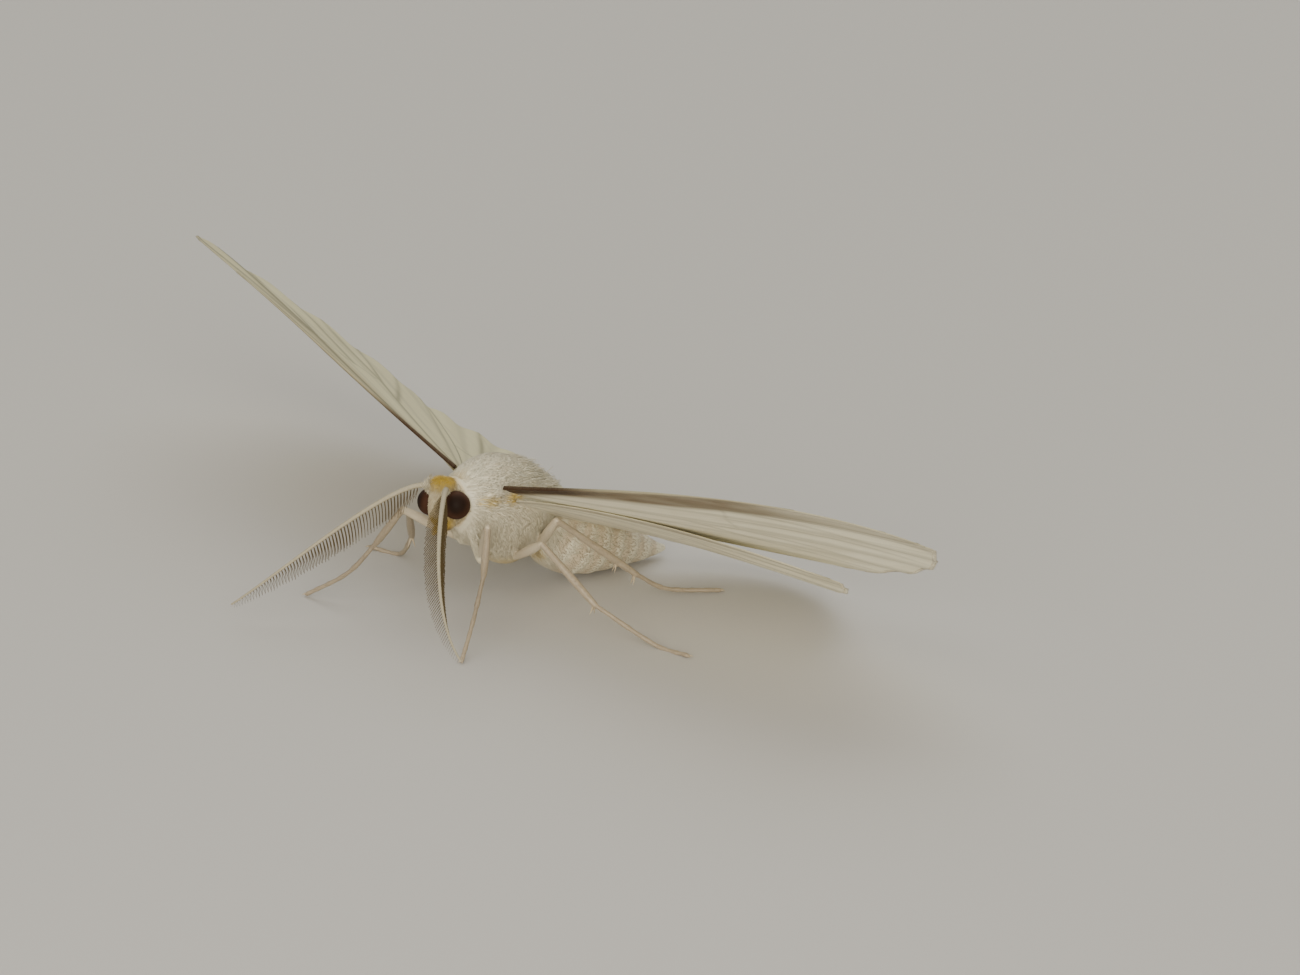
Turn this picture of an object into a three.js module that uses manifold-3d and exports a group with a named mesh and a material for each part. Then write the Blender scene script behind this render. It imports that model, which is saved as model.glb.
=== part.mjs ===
// A white geometrid moth at rest, life size, in millimetres, +Z up, standing on z = 0.
// It faces -Y, its left side is +X. Wings are held flat and half spread, the fore body is
// raised on the front legs and the abdomen slopes down to the floor.
import * as THREE from 'three';
import Module from 'manifold-3d';
import { mergeVertices } from 'three/addons/utils/BufferGeometryUtils.js';

const wasm = await Module();
wasm.setup();

const rad = THREE.MathUtils.degToRad;
const vec = (x, y, z) => new THREE.Vector3(x, y, z);

// ---- Driving dimensions -------------------------------------------------------------------
const HINGE_HEIGHT = 5.25;        // wing hinges above the floor
const GAP = 0.03;                 // clearance left between neighbouring solids
const WING_THICKNESS = 0.5;
const LEFT = 1;
const RIGHT = -1;

// Wing outlines are fractions of the wing length: first outwards to the apex, then backwards.
// The hindwing lies under the forewing, so its plate is laid below its surface in front.
const FOREWING = {
  length: 19.66,
  hinge: { [LEFT]: [1.37, -0.12, 0.06], [RIGHT]: [1.37, -0.12, 0.06] },
  sweep: { [LEFT]: 12.5, [RIGHT]: 13.8 },
  rise: { [LEFT]: 6.5, [RIGHT]: 5.1 },
  pitch: { [LEFT]: 36.2, [RIGHT]: 39.6 },
  arch: { [LEFT]: 0.31, [RIGHT]: 0.22 },
  archPeak: 1.4,
  sag: { [LEFT]: 0, [RIGHT]: 0 },
  noseDroop: { [LEFT]: 0, [RIGHT]: 0 },
  stations: 21,
  lowerFace: { leading: 0, trailing: 0 },
  costa: [[0, 0], [0.44, -0.13], [1.015, -0.165], [1, 0]],
  outerMargin: [[1, 0], [0.93, 0.12], [0.86, 0.25], [0.635, 0.324]],
  innerMargin: [[0.635, 0.324], [0.406, 0.267], [0.195, 0.168], [0, 0.026]],
};
const HINDWING = {
  length: 12.7,
  hinge: { [LEFT]: [1.48, 0.47, -0.46], [RIGHT]: [1.48, 0.47, -0.51] },
  sweep: { [LEFT]: 31.3, [RIGHT]: 26.5 },
  rise: { [LEFT]: -8.1, [RIGHT]: -3.9 },
  pitch: { [LEFT]: 23.7, [RIGHT]: 29.8 },
  arch: { [LEFT]: 0.34, [RIGHT]: 0.12 },
  archPeak: 0.8,
  sag: { [LEFT]: 0.62, [RIGHT]: 0.5 },
  noseDroop: { [LEFT]: 0.14, [RIGHT]: 0.2 },
  stations: 16,
  lowerFace: { leading: -WING_THICKNESS - 0.03, trailing: -0.2 },
  costa: [[0, 0], [0.3, -0.056], [0.75, -0.056], [1, 0]],
  outerMargin: [[1, 0], [1.03, 0.28], [0.8, 0.76], [0.19, 0.42]],
  innerMargin: [[0.19, 0.42], [0.12, 0.32], [0.04, 0.2], [0, 0.06]],
};

// Thorax slices from the neck to the waist: y, top, bottom, half width. Heights from the hinges.
const THORAX = [
  [-1.45, -0.15, -1.35, 0.55],
  [-1.1, 0.3, -1.9, 0.95],
  [-0.5, 0.68, -2.65, 1.25],
  [0.3, 0.85, -3.42, 1.42],
  [1.1, 0.72, -3.84, 1.45],
  [1.9, 0.3, -3.8, 1.32],
  [2.6, -0.35, -3.5, 1.1],
  [2.95, -0.85, -3.1, 0.8],
];
// Abdomen rings along its axis: x, y, z from the hinges, radius.
const ABDOMEN = [
  [0, 2.7, -2.2, 0.85],
  [0.05, 3.15, -2.8, 1.22],
  [0.15, 3.9, -3.4, 1.42],
  [0.27, 4.75, -3.74, 1.37],
  [0.4, 5.57, -4, 1.2],
  [0.55, 6.4, -4.29, 0.95],
  [0.7, 7.2, -4.6, 0.63],
  [0.83, 7.9, -4.82, 0.34],
  [0.95, 8.42, -4.89, 0.17],
];

const HEAD = { centre: [0, -1.85, -0.6], radii: [0.66, 0.64, 0.98], roll: 9, yaw: 6.5 };
const EYE = { offset: 0.62, radius: 0.54, depth: 0.02, height: 0.08 };
const ANTENNA = {
  roll: 5.8,
  yaw: 4.4,
  route: [[0.42, -0.22, 0.75], [1.14, -1.01, 1.36], [3.57, -4.95, -1.7], [5.91, -5.57, -3.3]],
  combRoot: 0.2,
  combLength: 0.93,
  combSpread: 27,
  combDroop: [-0.38, 0.12, -0.72],
  fullFrom: 0.25,
  fullTo: 0.4,
  tipLoss: 0.95,
  bladeHalf: 0.2,
  stations: 20,
};

// Leg joints: hip, knee, ankle and the tarsus down to its claws. Heights from the hinges.
const TOE = 0.13 - HINGE_HEIGHT;
const LEGS = {
  leg_fore_left: [[0.48, -0.44, -2.98], [2.18, -1.62, -0.89], [2.24, -1.87, -2.7],
    [2.86, -2.95, -4.02], [3.43, -4.03, TOE]],
  leg_fore_right: [[-0.5, -0.5, -2.5], [-1.81, -2.28, -1.19], [-2.66, -2.84, -2.67],
    [-3.5, -3.5, -3.95], [-5.1, -4.13, TOE]],
  leg_mid_left: [[0.5, 1.1, -3.42], [2.92, 0.41, -1.87], [5.32, 0.9, -3.71],
    [7.12, 2.25, TOE], [8.66, 2.52, TOE]],
  leg_mid_right: [[-0.5, 0.9, -3.38], [-2.58, -1.29, -1.84], [-4.15, 0.25, -3.75],
    [-5.6, 0.95, TOE], [-6.9, 0.6, TOE]],
  leg_hind_left: [[0.35, 2.25, -3.6], [2.35, 1.65, -1.45], [3.67, 4.46, -4.02],
    [3.95, 5.7, -4.85], [4.88, 7.53, TOE]],
  leg_hind_right: [[-0.35, 2.25, -3.6], [-2.35, 1.7, -1.5], [-3.75, 4.35, -4.0],
    [-4.2, 5.6, -4.85], [-5.2, 6.95, TOE]],
};
const LIMB = { coxa: 0.36, femur: 0.29, tibia: 0.26, tarsus: 0.25 };
// Spurs on the tibia: share of its length, for the middle and hind legs.
const SPURS = { fore: [], mid: [0.97], hind: [0.74, 0.97] };
const SPUR_LENGTH = 0.48;

// ---- Materials ----------------------------------------------------------------------------
const finish = (color, roughness) => new THREE.MeshStandardMaterial({ color, roughness, metalness: 0 });
const MATERIAL = {
  scales: finish(0xe4dfcd, 0.6),
  wing: finish(0xd8d2ba, 0.55),
  eye: finish(0x2c1c15, 0.25),
  antenna: finish(0xb3a27c, 0.7),
  leg: finish(0xd9c9ab, 0.6),
};

// ---- Solids from rings --------------------------------------------------------------------
/** Joins rings of points into a closed geometry with a fan over each end, faces outwards. */
function loft(rings) {
  const n = rings[0].length;
  const points = rings.flat();
  const faces = [];
  for (let r = 0; r + 1 < rings.length; r += 1) {
    for (let i = 0; i < n; i += 1) {
      const j = (i + 1) % n;
      const [a, b, c, d] = [r * n + i, r * n + j, (r + 1) * n + j, (r + 1) * n + i];
      faces.push([a, b, c], [a, c, d]);
    }
  }
  for (const [start, flip] of [[0, true], [(rings.length - 1) * n, false]]) {
    const middle = vec(0, 0, 0);
    for (let i = 0; i < n; i += 1) middle.addScaledVector(points[start + i], 1 / n);
    points.push(middle);
    const hub = points.length - 1;
    for (let i = 0; i < n; i += 1) {
      const [a, b] = [start + i, start + ((i + 1) % n)];
      faces.push(flip ? [b, a, hub] : [a, b, hub]);
    }
  }
  const volume = faces.reduce(
    (sum, [a, b, c]) => sum + points[a].dot(vec(0, 0, 0).crossVectors(points[b], points[c])),
    0,
  );
  const index = volume > 0 ? faces.flat() : faces.map(([a, b, c]) => [a, c, b]).flat();
  const geometry = new THREE.BufferGeometry().setFromPoints(points);
  geometry.setIndex(index);
  return geometry;
}

/** A closed geometry as a solid that can be joined and cut. */
function toSolid(geometry) {
  const bare = geometry.clone();
  bare.deleteAttribute('normal');
  bare.deleteAttribute('uv');
  const merged = mergeVertices(bare, 1e-4);
  const vertProperties = Float32Array.from(merged.attributes.position.array);
  const triVerts = Uint32Array.from(merged.index.array);
  return new wasm.Manifold(new wasm.Mesh({ numProp: 3, vertProperties, triVerts }));
}

/** A solid as a geometry ready for a mesh. */
function toGeometry(solid) {
  const { vertProperties, triVerts } = solid.getMesh();
  const geometry = new THREE.BufferGeometry();
  geometry.setAttribute('position', new THREE.BufferAttribute(vertProperties, 3));
  geometry.setIndex(new THREE.BufferAttribute(triVerts, 1));
  geometry.computeVertexNormals();
  return geometry;
}

/** A round rod with domed ends along a smooth path, its radius given along the way from 0 to 1. */
function rod(points, radiusAt, { sides = 8, steps = 1, grow = 0 } = {}) {
  const curve = points.length > 2
    ? new THREE.CatmullRomCurve3(points, false, 'centripetal')
    : new THREE.LineCurve3(...points);
  const frames = curve.computeFrenetFrames(steps);
  const ring = (t, along, squeeze) => {
    const k = Math.round(t * steps);
    const radius = (radiusAt(t) + grow) * squeeze;
    const centre = curve.getPointAt(t).addScaledVector(frames.tangents[k], along * (radiusAt(t) + grow));
    return Array.from({ length: sides }, (_, i) => {
      const a = (2 * Math.PI * i) / sides;
      return centre.clone()
        .addScaledVector(frames.normals[k], Math.cos(a) * radius)
        .addScaledVector(frames.binormals[k], Math.sin(a) * radius);
    });
  };
  const dome = [[0.94, 0.34], [0.64, 0.77]];
  const rings = dome.map(([along, squeeze]) => ring(0, -along, squeeze));
  for (let s = 0; s <= steps; s += 1) rings.push(ring(s / steps, 0, 1));
  rings.push(...dome.reverse().map(([along, squeeze]) => ring(1, along, squeeze)));
  return toSolid(loft(rings));
}

/** The largest separate body of a solid, without the slivers that a cut can leave. */
function largest(solid) {
  return solid.decompose().reduce((best, piece) => (piece.volume() > best.volume() ? piece : best));
}

/** Everything below the floor, as a block to cut away. */
const UNDER_FLOOR = toSolid(new THREE.BoxGeometry(60, 60, 4).translate(0, 0, -2));

const raised = ([x, y, z]) => vec(x, y, z + HINGE_HEIGHT);

// ---- Wings --------------------------------------------------------------------------------
/** A wing margin as a curve through four control points, in millimetres on the wing's plane. */
function margin(points, length) {
  const corners = points.map(([p, q]) => new THREE.Vector2(p * length, q * length));
  return new THREE.CubicBezierCurve(...corners).getPoints(48);
}

/** How far back a margin lies at a distance p from the hinge. */
function backAt(outline, p) {
  const k = Math.max(1, outline.findIndex((point, i) => i > 0 && point.x >= p));
  const [a, b] = [outline[k - 1], outline[k]];
  const share = THREE.MathUtils.clamp((p - a.x) / Math.max(b.x - a.x, 1e-6), 0, 1);
  return a.y + (b.y - a.y) * share;
}

/** The wing's own axes: out to the apex, back along the chord, and up out of the surface. */
function wingAxes(wing, side) {
  const [sweep, rise, pitch] = [rad(wing.sweep[side]), rad(wing.rise[side]), rad(wing.pitch[side])];
  const out = vec(Math.cos(rise) * Math.cos(sweep), Math.cos(rise) * Math.sin(sweep), Math.sin(rise));
  const level = vec(-Math.sin(sweep), Math.cos(sweep), 0);
  const above = vec(0, 0, 0).crossVectors(out, level);
  const back = level.clone().multiplyScalar(Math.cos(pitch)).addScaledVector(above, -Math.sin(pitch));
  return { out, back, up: vec(0, 0, 0).crossVectors(out, back) };
}

/** A point of the wing, p outwards, q backwards and lift above its surface. */
function wingPoint(wing, side, axes, p, q, lift) {
  const [u, v] = [p / wing.length, q / wing.length];
  const bow = wing.arch[side] * Math.sin(Math.PI * Math.pow(u, wing.archPeak))
    - wing.sag[side] * 8.2 * v * (0.7 - v)
    - wing.noseDroop[side] * THREE.MathUtils.clamp(1 - v / 0.25, 0, 1.3) ** 2;
  const point = raised(wing.hinge[side])
    .addScaledVector(axes.out, p)
    .addScaledVector(axes.back, q)
    .addScaledVector(axes.up, bow + lift);
  point.x *= side;
  return point;
}

/** A whole wing as a plate of even thickness whose sections run from the costa backwards. */
function wingSolid(wing, side) {
  const axes = wingAxes(wing, side);
  const costa = margin(wing.costa, wing.length);
  const trailing = [
    ...margin(wing.innerMargin, wing.length).reverse(),
    ...margin(wing.outerMargin, wing.length).reverse().slice(1),
  ];
  const chordSteps = 5;
  const rings = [];
  for (let s = 0; s <= wing.stations; s += 1) {
    const p = wing.length * 0.992 * Math.sin((Math.PI / 2) * (s / wing.stations) ** 1.15);
    const [front, rear] = [backAt(costa, p), backAt(trailing, p)];
    const lower = [];
    const upper = [];
    for (let c = 0; c <= chordSteps; c += 1) {
      const q = front + ((rear - front) * c) / chordSteps;
      const edge = c === 0 || c === chordSteps ? 0.06 : 0;
      const behind = THREE.MathUtils.smoothstep(q / wing.length, 0.35, 0.65);
      const face = THREE.MathUtils.lerp(wing.lowerFace.leading, wing.lowerFace.trailing, behind);
      lower.push(wingPoint(wing, side, axes, p, q, face + edge));
      upper.push(wingPoint(wing, side, axes, p, q, face + WING_THICKNESS - edge));
    }
    rings.push([...lower, ...upper.reverse()]);
  }
  return toSolid(loft(rings));
}

// ---- Body ---------------------------------------------------------------------------------
/** The thorax, egg shaped in section and narrower below, with the six coxae grown onto it. */
function thoraxSolid(grow = 0) {
  const sides = 16;
  const rings = THORAX.map(([y, top, bottom, width], k) => {
    const end = k === 0 ? -grow : k === THORAX.length - 1 ? grow : 0;
    const middle = top - (top - bottom) * 0.42;
    return Array.from({ length: sides }, (_, i) => {
      const a = (2 * Math.PI * i) / sides;
      const sine = Math.sin(a);
      const tall = (sine > 0 ? top - middle : middle - bottom) + grow;
      const narrow = sine < 0 ? 1 - 0.28 * sine * sine : 1;
      return raised([(width + grow) * narrow * Math.cos(a), y + end, middle + tall * sine]);
    });
  });
  const coxae = Object.entries(LEGS).map(([name, [hip]]) => {
    const side = Math.sign(hip[0]);
    const root = name.includes('fore') ? [0.5 * side, -0.8, -1.6] : [0.75 * side, hip[1] - 0.4, -2.6];
    const slim = name.includes('fore') ? 0.82 : 1;
    return rod([raised(root), raised(hip)], (t) => LIMB.coxa * (1.15 - 0.25 * t) * slim, { grow });
  });
  return coxae.reduce((body, coxa) => body.add(coxa), toSolid(loft(rings)));
}

/** The abdomen, a row of slightly overlapping rings that tapers to the tail. */
function abdomenSolid(grow = 0) {
  const axis = new THREE.CatmullRomCurve3(ABDOMEN.map((row) => raised(row)));
  const sides = 14;
  const last = ABDOMEN.length - 1;
  const rings = ABDOMEN.map((row, k) => {
    const tangent = axis.getTangent(k / last);
    const across = vec(1, 0, 0).addScaledVector(tangent, -tangent.x).normalize();
    const up = vec(0, 0, 0).crossVectors(across, tangent);
    const centre = raised(row).addScaledVector(tangent, (k === 0 ? -1 : k === last ? 1 : 0) * grow);
    return Array.from({ length: sides }, (_, i) => {
      const a = (2 * Math.PI * i) / sides;
      return centre.clone()
        .addScaledVector(across, Math.cos(a) * (row[3] + grow))
        .addScaledVector(up, Math.sin(a) * (row[3] + grow));
    });
  });
  return toSolid(loft(rings));
}

/** Turns a point given round the head's centre by the head's roll and yaw, and sets it in place. */
function onHead([x, y, z], roll = HEAD.roll, yaw = HEAD.yaw) {
  const point = vec(x, y, z);
  point.applyAxisAngle(vec(0, 1, 0), -rad(roll));
  point.applyAxisAngle(vec(0, 0, 1), rad(yaw));
  return point.add(raised(HEAD.centre));
}

/** An ellipsoid on the head. */
function headBall(centre, radii, sides = 16, grow = 0) {
  const ball = new THREE.SphereGeometry(1, sides, sides * 0.6);
  ball.scale(...radii.map((r) => r + grow));
  ball.rotateY(-rad(HEAD.roll));
  ball.rotateZ(rad(HEAD.yaw));
  ball.translate(...onHead(centre).toArray());
  return toSolid(ball);
}

/** The head capsule with its crown of scales and the two short palps below the face. */
function headSolid(grow = 0) {
  let head = headBall([0, 0, -0.06], HEAD.radii, 14, grow);
  head = head.add(headBall([0, 0.08, 0.78], [0.5, 0.48, 0.42], 10, grow));
  for (const side of [LEFT, RIGHT]) {
    const palp = [onHead([0.16 * side, -0.3, -0.85]), onHead([0.14 * side, -0.6, -0.98])];
    head = head.add(rod(palp, () => 0.17, { sides: 6, grow }));
  }
  return head;
}

function eyeSolid(side, grow = 0) {
  return headBall([EYE.offset * side, EYE.depth, EYE.height], [EYE.radius, EYE.radius, EYE.radius], 16, grow);
}

/** A feathered antenna: a tapering blade with the stalk on its ridge and the comb to both sides. */
function antennaSolid(side) {
  const route = ANTENNA.route.map(([x, y, z]) => onHead([x * side, y, z], ANTENNA.roll, ANTENNA.yaw));
  const curve = new THREE.CubicBezierCurve3(...route);
  const spread = rad(ANTENNA.combSpread);
  const rings = [];
  for (let s = 0; s <= ANTENNA.stations; s += 1) {
    const t = s / ANTENNA.stations;
    const tangent = curve.getTangentAt(t);
    const down = vec(ANTENNA.combDroop[0] * side, ANTENNA.combDroop[1], ANTENNA.combDroop[2]);
    down.addScaledVector(tangent, -down.dot(tangent)).normalize();
    const across = vec(0, 0, 0).crossVectors(tangent, down);
    const widening = Math.sin(Math.PI / 2 * Math.min(1, t / ANTENNA.fullFrom));
    const past = Math.max(0, (t - ANTENNA.fullTo) / (1 - ANTENNA.fullTo));
    const swell = widening * (1 - ANTENNA.tipLoss * past ** 1.3);
    const reach = ANTENNA.combRoot + (ANTENNA.combLength - ANTENNA.combRoot) * swell;
    const wide = Math.max(reach * Math.sin(spread), ANTENNA.bladeHalf);
    const deep = Math.max(reach * Math.cos(spread), ANTENNA.bladeHalf);
    const section = [[0.14, -0.15], [wide, deep - 0.12], [wide * 0.96, deep + 0.04],
      [0, deep + 0.08], [-wide * 0.96, deep + 0.04], [-wide, deep - 0.12], [-0.14, -0.15]];
    rings.push(section.map(([a, d]) => curve.getPointAt(t).clone()
      .addScaledVector(across, a)
      .addScaledVector(down, d)));
  }
  return toSolid(loft(rings));
}

// ---- Legs ---------------------------------------------------------------------------------
/** The three free lengths of a leg, each cut clear of the one it hangs from. */
function legSolids(name, joints, body) {
  const [hip, knee, ankle, ...foot] = joints.map(raised);
  const femurRadius = (t) => LIMB.femur * (1.12 - 0.12 * t);
  const tibiaRadius = () => LIMB.tibia;
  const femurPath = [hip, knee];
  const tibiaPath = [knee.clone().lerp(ankle, 0.04), ankle];
  const tarsusPath = [ankle.clone().lerp(foot[0], 0.08), ...foot];
  const clear = { grow: GAP };
  let tibia = rod(tibiaPath, tibiaRadius);
  for (const share of SPURS[name.split('_')[1]]) {
    const root = knee.clone().lerp(ankle, share);
    const along = ankle.clone().sub(knee).normalize();
    const droop = vec(0, 0, -1).addScaledVector(along, along.z).normalize();
    const tip = root.clone().addScaledVector(along, SPUR_LENGTH * 0.5).addScaledVector(droop, SPUR_LENGTH);
    tibia = tibia.add(rod([root, tip], (t) => 0.15 - 0.06 * t, { sides: 6 }));
  }
  return {
    femur: rod(femurPath, femurRadius).subtract(body),
    tibia: tibia.subtract(rod(femurPath, femurRadius, clear)).subtract(body),
    tarsus: rod(tarsusPath, () => LIMB.tarsus, { steps: 5 })
      .subtract(rod([knee, ankle], tibiaRadius, clear))
      .subtract(UNDER_FLOOR),
  };
}

// ---- The moth -----------------------------------------------------------------------------
const moth = new THREE.Group();

function addPart(name, solid, material) {
  const mesh = new THREE.Mesh(toGeometry(largest(solid)), material);
  mesh.name = name;
  moth.add(mesh);
}

const thoraxClear = thoraxSolid(GAP);
const abdomenClear = abdomenSolid(GAP);
const headClear = headSolid(GAP);
const eyesClear = eyeSolid(LEFT, GAP).add(eyeSolid(RIGHT, GAP));

addPart('thorax', thoraxSolid(), MATERIAL.scales);
addPart('abdomen', abdomenSolid().subtract(thoraxClear).subtract(UNDER_FLOOR), MATERIAL.scales);
addPart('head', headSolid().subtract(thoraxClear).subtract(eyesClear), MATERIAL.scales);

const kneesClear = {};
for (const [name, joints] of Object.entries(LEGS)) {
  const solids = legSolids(name, joints, thoraxClear);
  for (const [length, solid] of Object.entries(solids)) addPart(`${name}_${length}`, solid, MATERIAL.leg);
  const [hip, knee, ankle] = joints.map(raised);
  kneesClear[name] = rod([hip, knee], () => LIMB.femur, { grow: 2 * GAP })
    .add(rod([knee, ankle], () => LIMB.tibia, { grow: 2 * GAP }));
}

for (const [side, word] of [[LEFT, 'left'], [RIGHT, 'right']]) {
  const legs = kneesClear[`leg_hind_${word}`].add(kneesClear[`leg_mid_${word}`]);
  const body = thoraxClear.add(abdomenClear);
  addPart(`eye_${word}`, eyeSolid(side).subtract(thoraxClear), MATERIAL.eye);
  addPart(`antenna_${word}`, antennaSolid(side).subtract(headClear).subtract(eyesClear), MATERIAL.antenna);
  addPart(`forewing_${word}`, wingSolid(FOREWING, side).subtract(body), MATERIAL.wing);
  addPart(`hindwing_${word}`, wingSolid(HINDWING, side).subtract(body).subtract(legs), MATERIAL.wing);
}

// The origin is the middle of the floor that the moth covers.
const reach = new THREE.Box3().setFromObject(moth);
const middle = reach.getCenter(vec(0, 0, 0));
moth.position.set(-middle.x, -middle.y, 0);
moth.updateMatrixWorld(true);

export default moth;
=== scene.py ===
# %% [markdown]
# # A white looper moth at rest
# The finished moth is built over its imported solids, which act as a fixed frame: every piece takes
# its place from them. All shapes below are worked out in millimetres from the point midway between
# the two forewing hinges, and are turned into metres only when a mesh is made. That keeps the
# numbers readable on an animal four centimetres wide.

# %% Load the frame and find home
import math

import bpy
import numpy as np
from mathutils import Matrix, Vector
from mathutils.bvhtree import BVHTree


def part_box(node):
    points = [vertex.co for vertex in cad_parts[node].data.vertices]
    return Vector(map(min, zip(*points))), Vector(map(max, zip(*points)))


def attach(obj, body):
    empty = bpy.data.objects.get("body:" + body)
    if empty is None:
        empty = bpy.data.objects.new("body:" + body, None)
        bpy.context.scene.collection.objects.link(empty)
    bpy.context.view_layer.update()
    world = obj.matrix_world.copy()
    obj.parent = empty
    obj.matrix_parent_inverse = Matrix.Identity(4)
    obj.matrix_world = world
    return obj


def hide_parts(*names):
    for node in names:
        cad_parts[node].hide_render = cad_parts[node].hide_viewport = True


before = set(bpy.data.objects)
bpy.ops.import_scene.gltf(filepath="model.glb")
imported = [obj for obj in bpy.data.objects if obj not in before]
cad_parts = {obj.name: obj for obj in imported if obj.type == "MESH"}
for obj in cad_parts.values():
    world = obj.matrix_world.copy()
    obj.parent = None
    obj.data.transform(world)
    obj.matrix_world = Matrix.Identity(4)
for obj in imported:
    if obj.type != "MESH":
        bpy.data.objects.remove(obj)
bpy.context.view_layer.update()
MM = 0.001
HINGE_HEIGHT = 5.25
thorax_low, thorax_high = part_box("thorax")
HOME = np.array([
    (thorax_low[0] + thorax_high[0]) / 2 / MM,
    thorax_low[1] / MM + 1.45,
    HINGE_HEIGHT,
])
print("home, mm:", HOME.round(3))

# %% [markdown]
# ## Camera, floor and light
# The camera stands ahead of the moth and to its left, looking down a little. A very long lens from
# far off is used because it keeps the near and far wing tips at one scale. The floor is a plain pale
# grey, close to the white animal in tone, so that the soft shadows under it and its own dark eyes
# and feelers give it its form.

# %% Camera
RIGHT_AXIS = np.array([0.6691, 0.7431, 0.0])
UP_AXIS = np.array([-0.2903, 0.2614, 0.9205])
TOWARDS = np.cross(RIGHT_AXIS, UP_AXIS)
VIEW_WIDTH = 48.15
LENS = 1000.0
look = HOME + RIGHT_AXIS * 6.26 - UP_AXIS * 0.37
distance = LENS * VIEW_WIDTH / 36.0
camera_data = bpy.data.cameras.new("camera")
camera_data.lens = LENS
camera_data.clip_end = 20.0
camera = bpy.data.objects.new("camera", camera_data)
camera.location = Vector((look + TOWARDS * distance) * MM)
camera.rotation_euler = Vector(TOWARDS).to_track_quat("Z", "Y").to_euler()
bpy.context.scene.collection.objects.link(camera)
bpy.context.scene.camera = camera
print("camera stands", round(distance), "mm away")

# %% Small helpers for meshes
def link(mesh, name):
    """A linked object for a mesh."""
    obj = bpy.data.objects.new(name, mesh)
    bpy.context.scene.collection.objects.link(obj)
    return obj


def make_mesh(name, points, faces, scale=MM):
    """A mesh from an array of points and lists of faces."""
    mesh = bpy.data.meshes.new(name)
    mesh.from_pydata((np.asarray(points) * scale).tolist(), [], faces)
    mesh.update()
    return mesh


def smooth(mesh):
    mesh.polygons.foreach_set("use_smooth", np.ones(len(mesh.polygons), bool))


def put(mesh, name, values, kind="FLOAT"):
    """Stores one number, or one vector, for each point of a mesh."""
    field = "value" if kind == "FLOAT" else "vector"
    layer = mesh.attributes.new(name, kind, "POINT")
    layer.data.foreach_set(field, np.asarray(values, np.float32).ravel())


def step(low, high, x):
    t = np.clip((np.asarray(x, float) - low) / (high - low), 0, 1)
    return t * t * (3 - 2 * t)


def unit(v):
    return v / np.maximum(np.linalg.norm(v, axis=-1, keepdims=True), 1e-9)


def bezier(corners, n):
    """n + 1 points on a cubic curve through four control points."""
    t = np.linspace(0, 1, n + 1)[:, None]
    a, b, c, d = [np.array(p, float) for p in corners]
    return (1 - t) ** 3 * a + 3 * (1 - t) ** 2 * t * b + 3 * (1 - t) * t ** 2 * c + t ** 3 * d


# %% [markdown]
# ## Shader maths
# A material is easier to read as an expression than as a web of nodes. The class below wraps a
# socket, so that adding or multiplying two of them places the Math node. Everything else goes
# through one method that takes the node's type, its settings and its inputs.

# %% The socket class
class Socket:
    def __init__(self, tree, out):
        self.tree, self.out = tree, out

    def _math(self, operation, *values):
        return Paint.node_in(self.tree, "ShaderNodeMath", {"operation": operation}, values)

    def __add__(self, other): return self._math("ADD", self, other)
    def __radd__(self, other): return self._math("ADD", other, self)
    def __sub__(self, other): return self._math("SUBTRACT", self, other)
    def __rsub__(self, other): return self._math("SUBTRACT", other, self)
    def __mul__(self, other): return self._math("MULTIPLY", self, other)
    def __rmul__(self, other): return self._math("MULTIPLY", other, self)
    def clamp(self): return self._math("MAXIMUM", self._math("MINIMUM", self, 1.0), 0.0)


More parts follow.
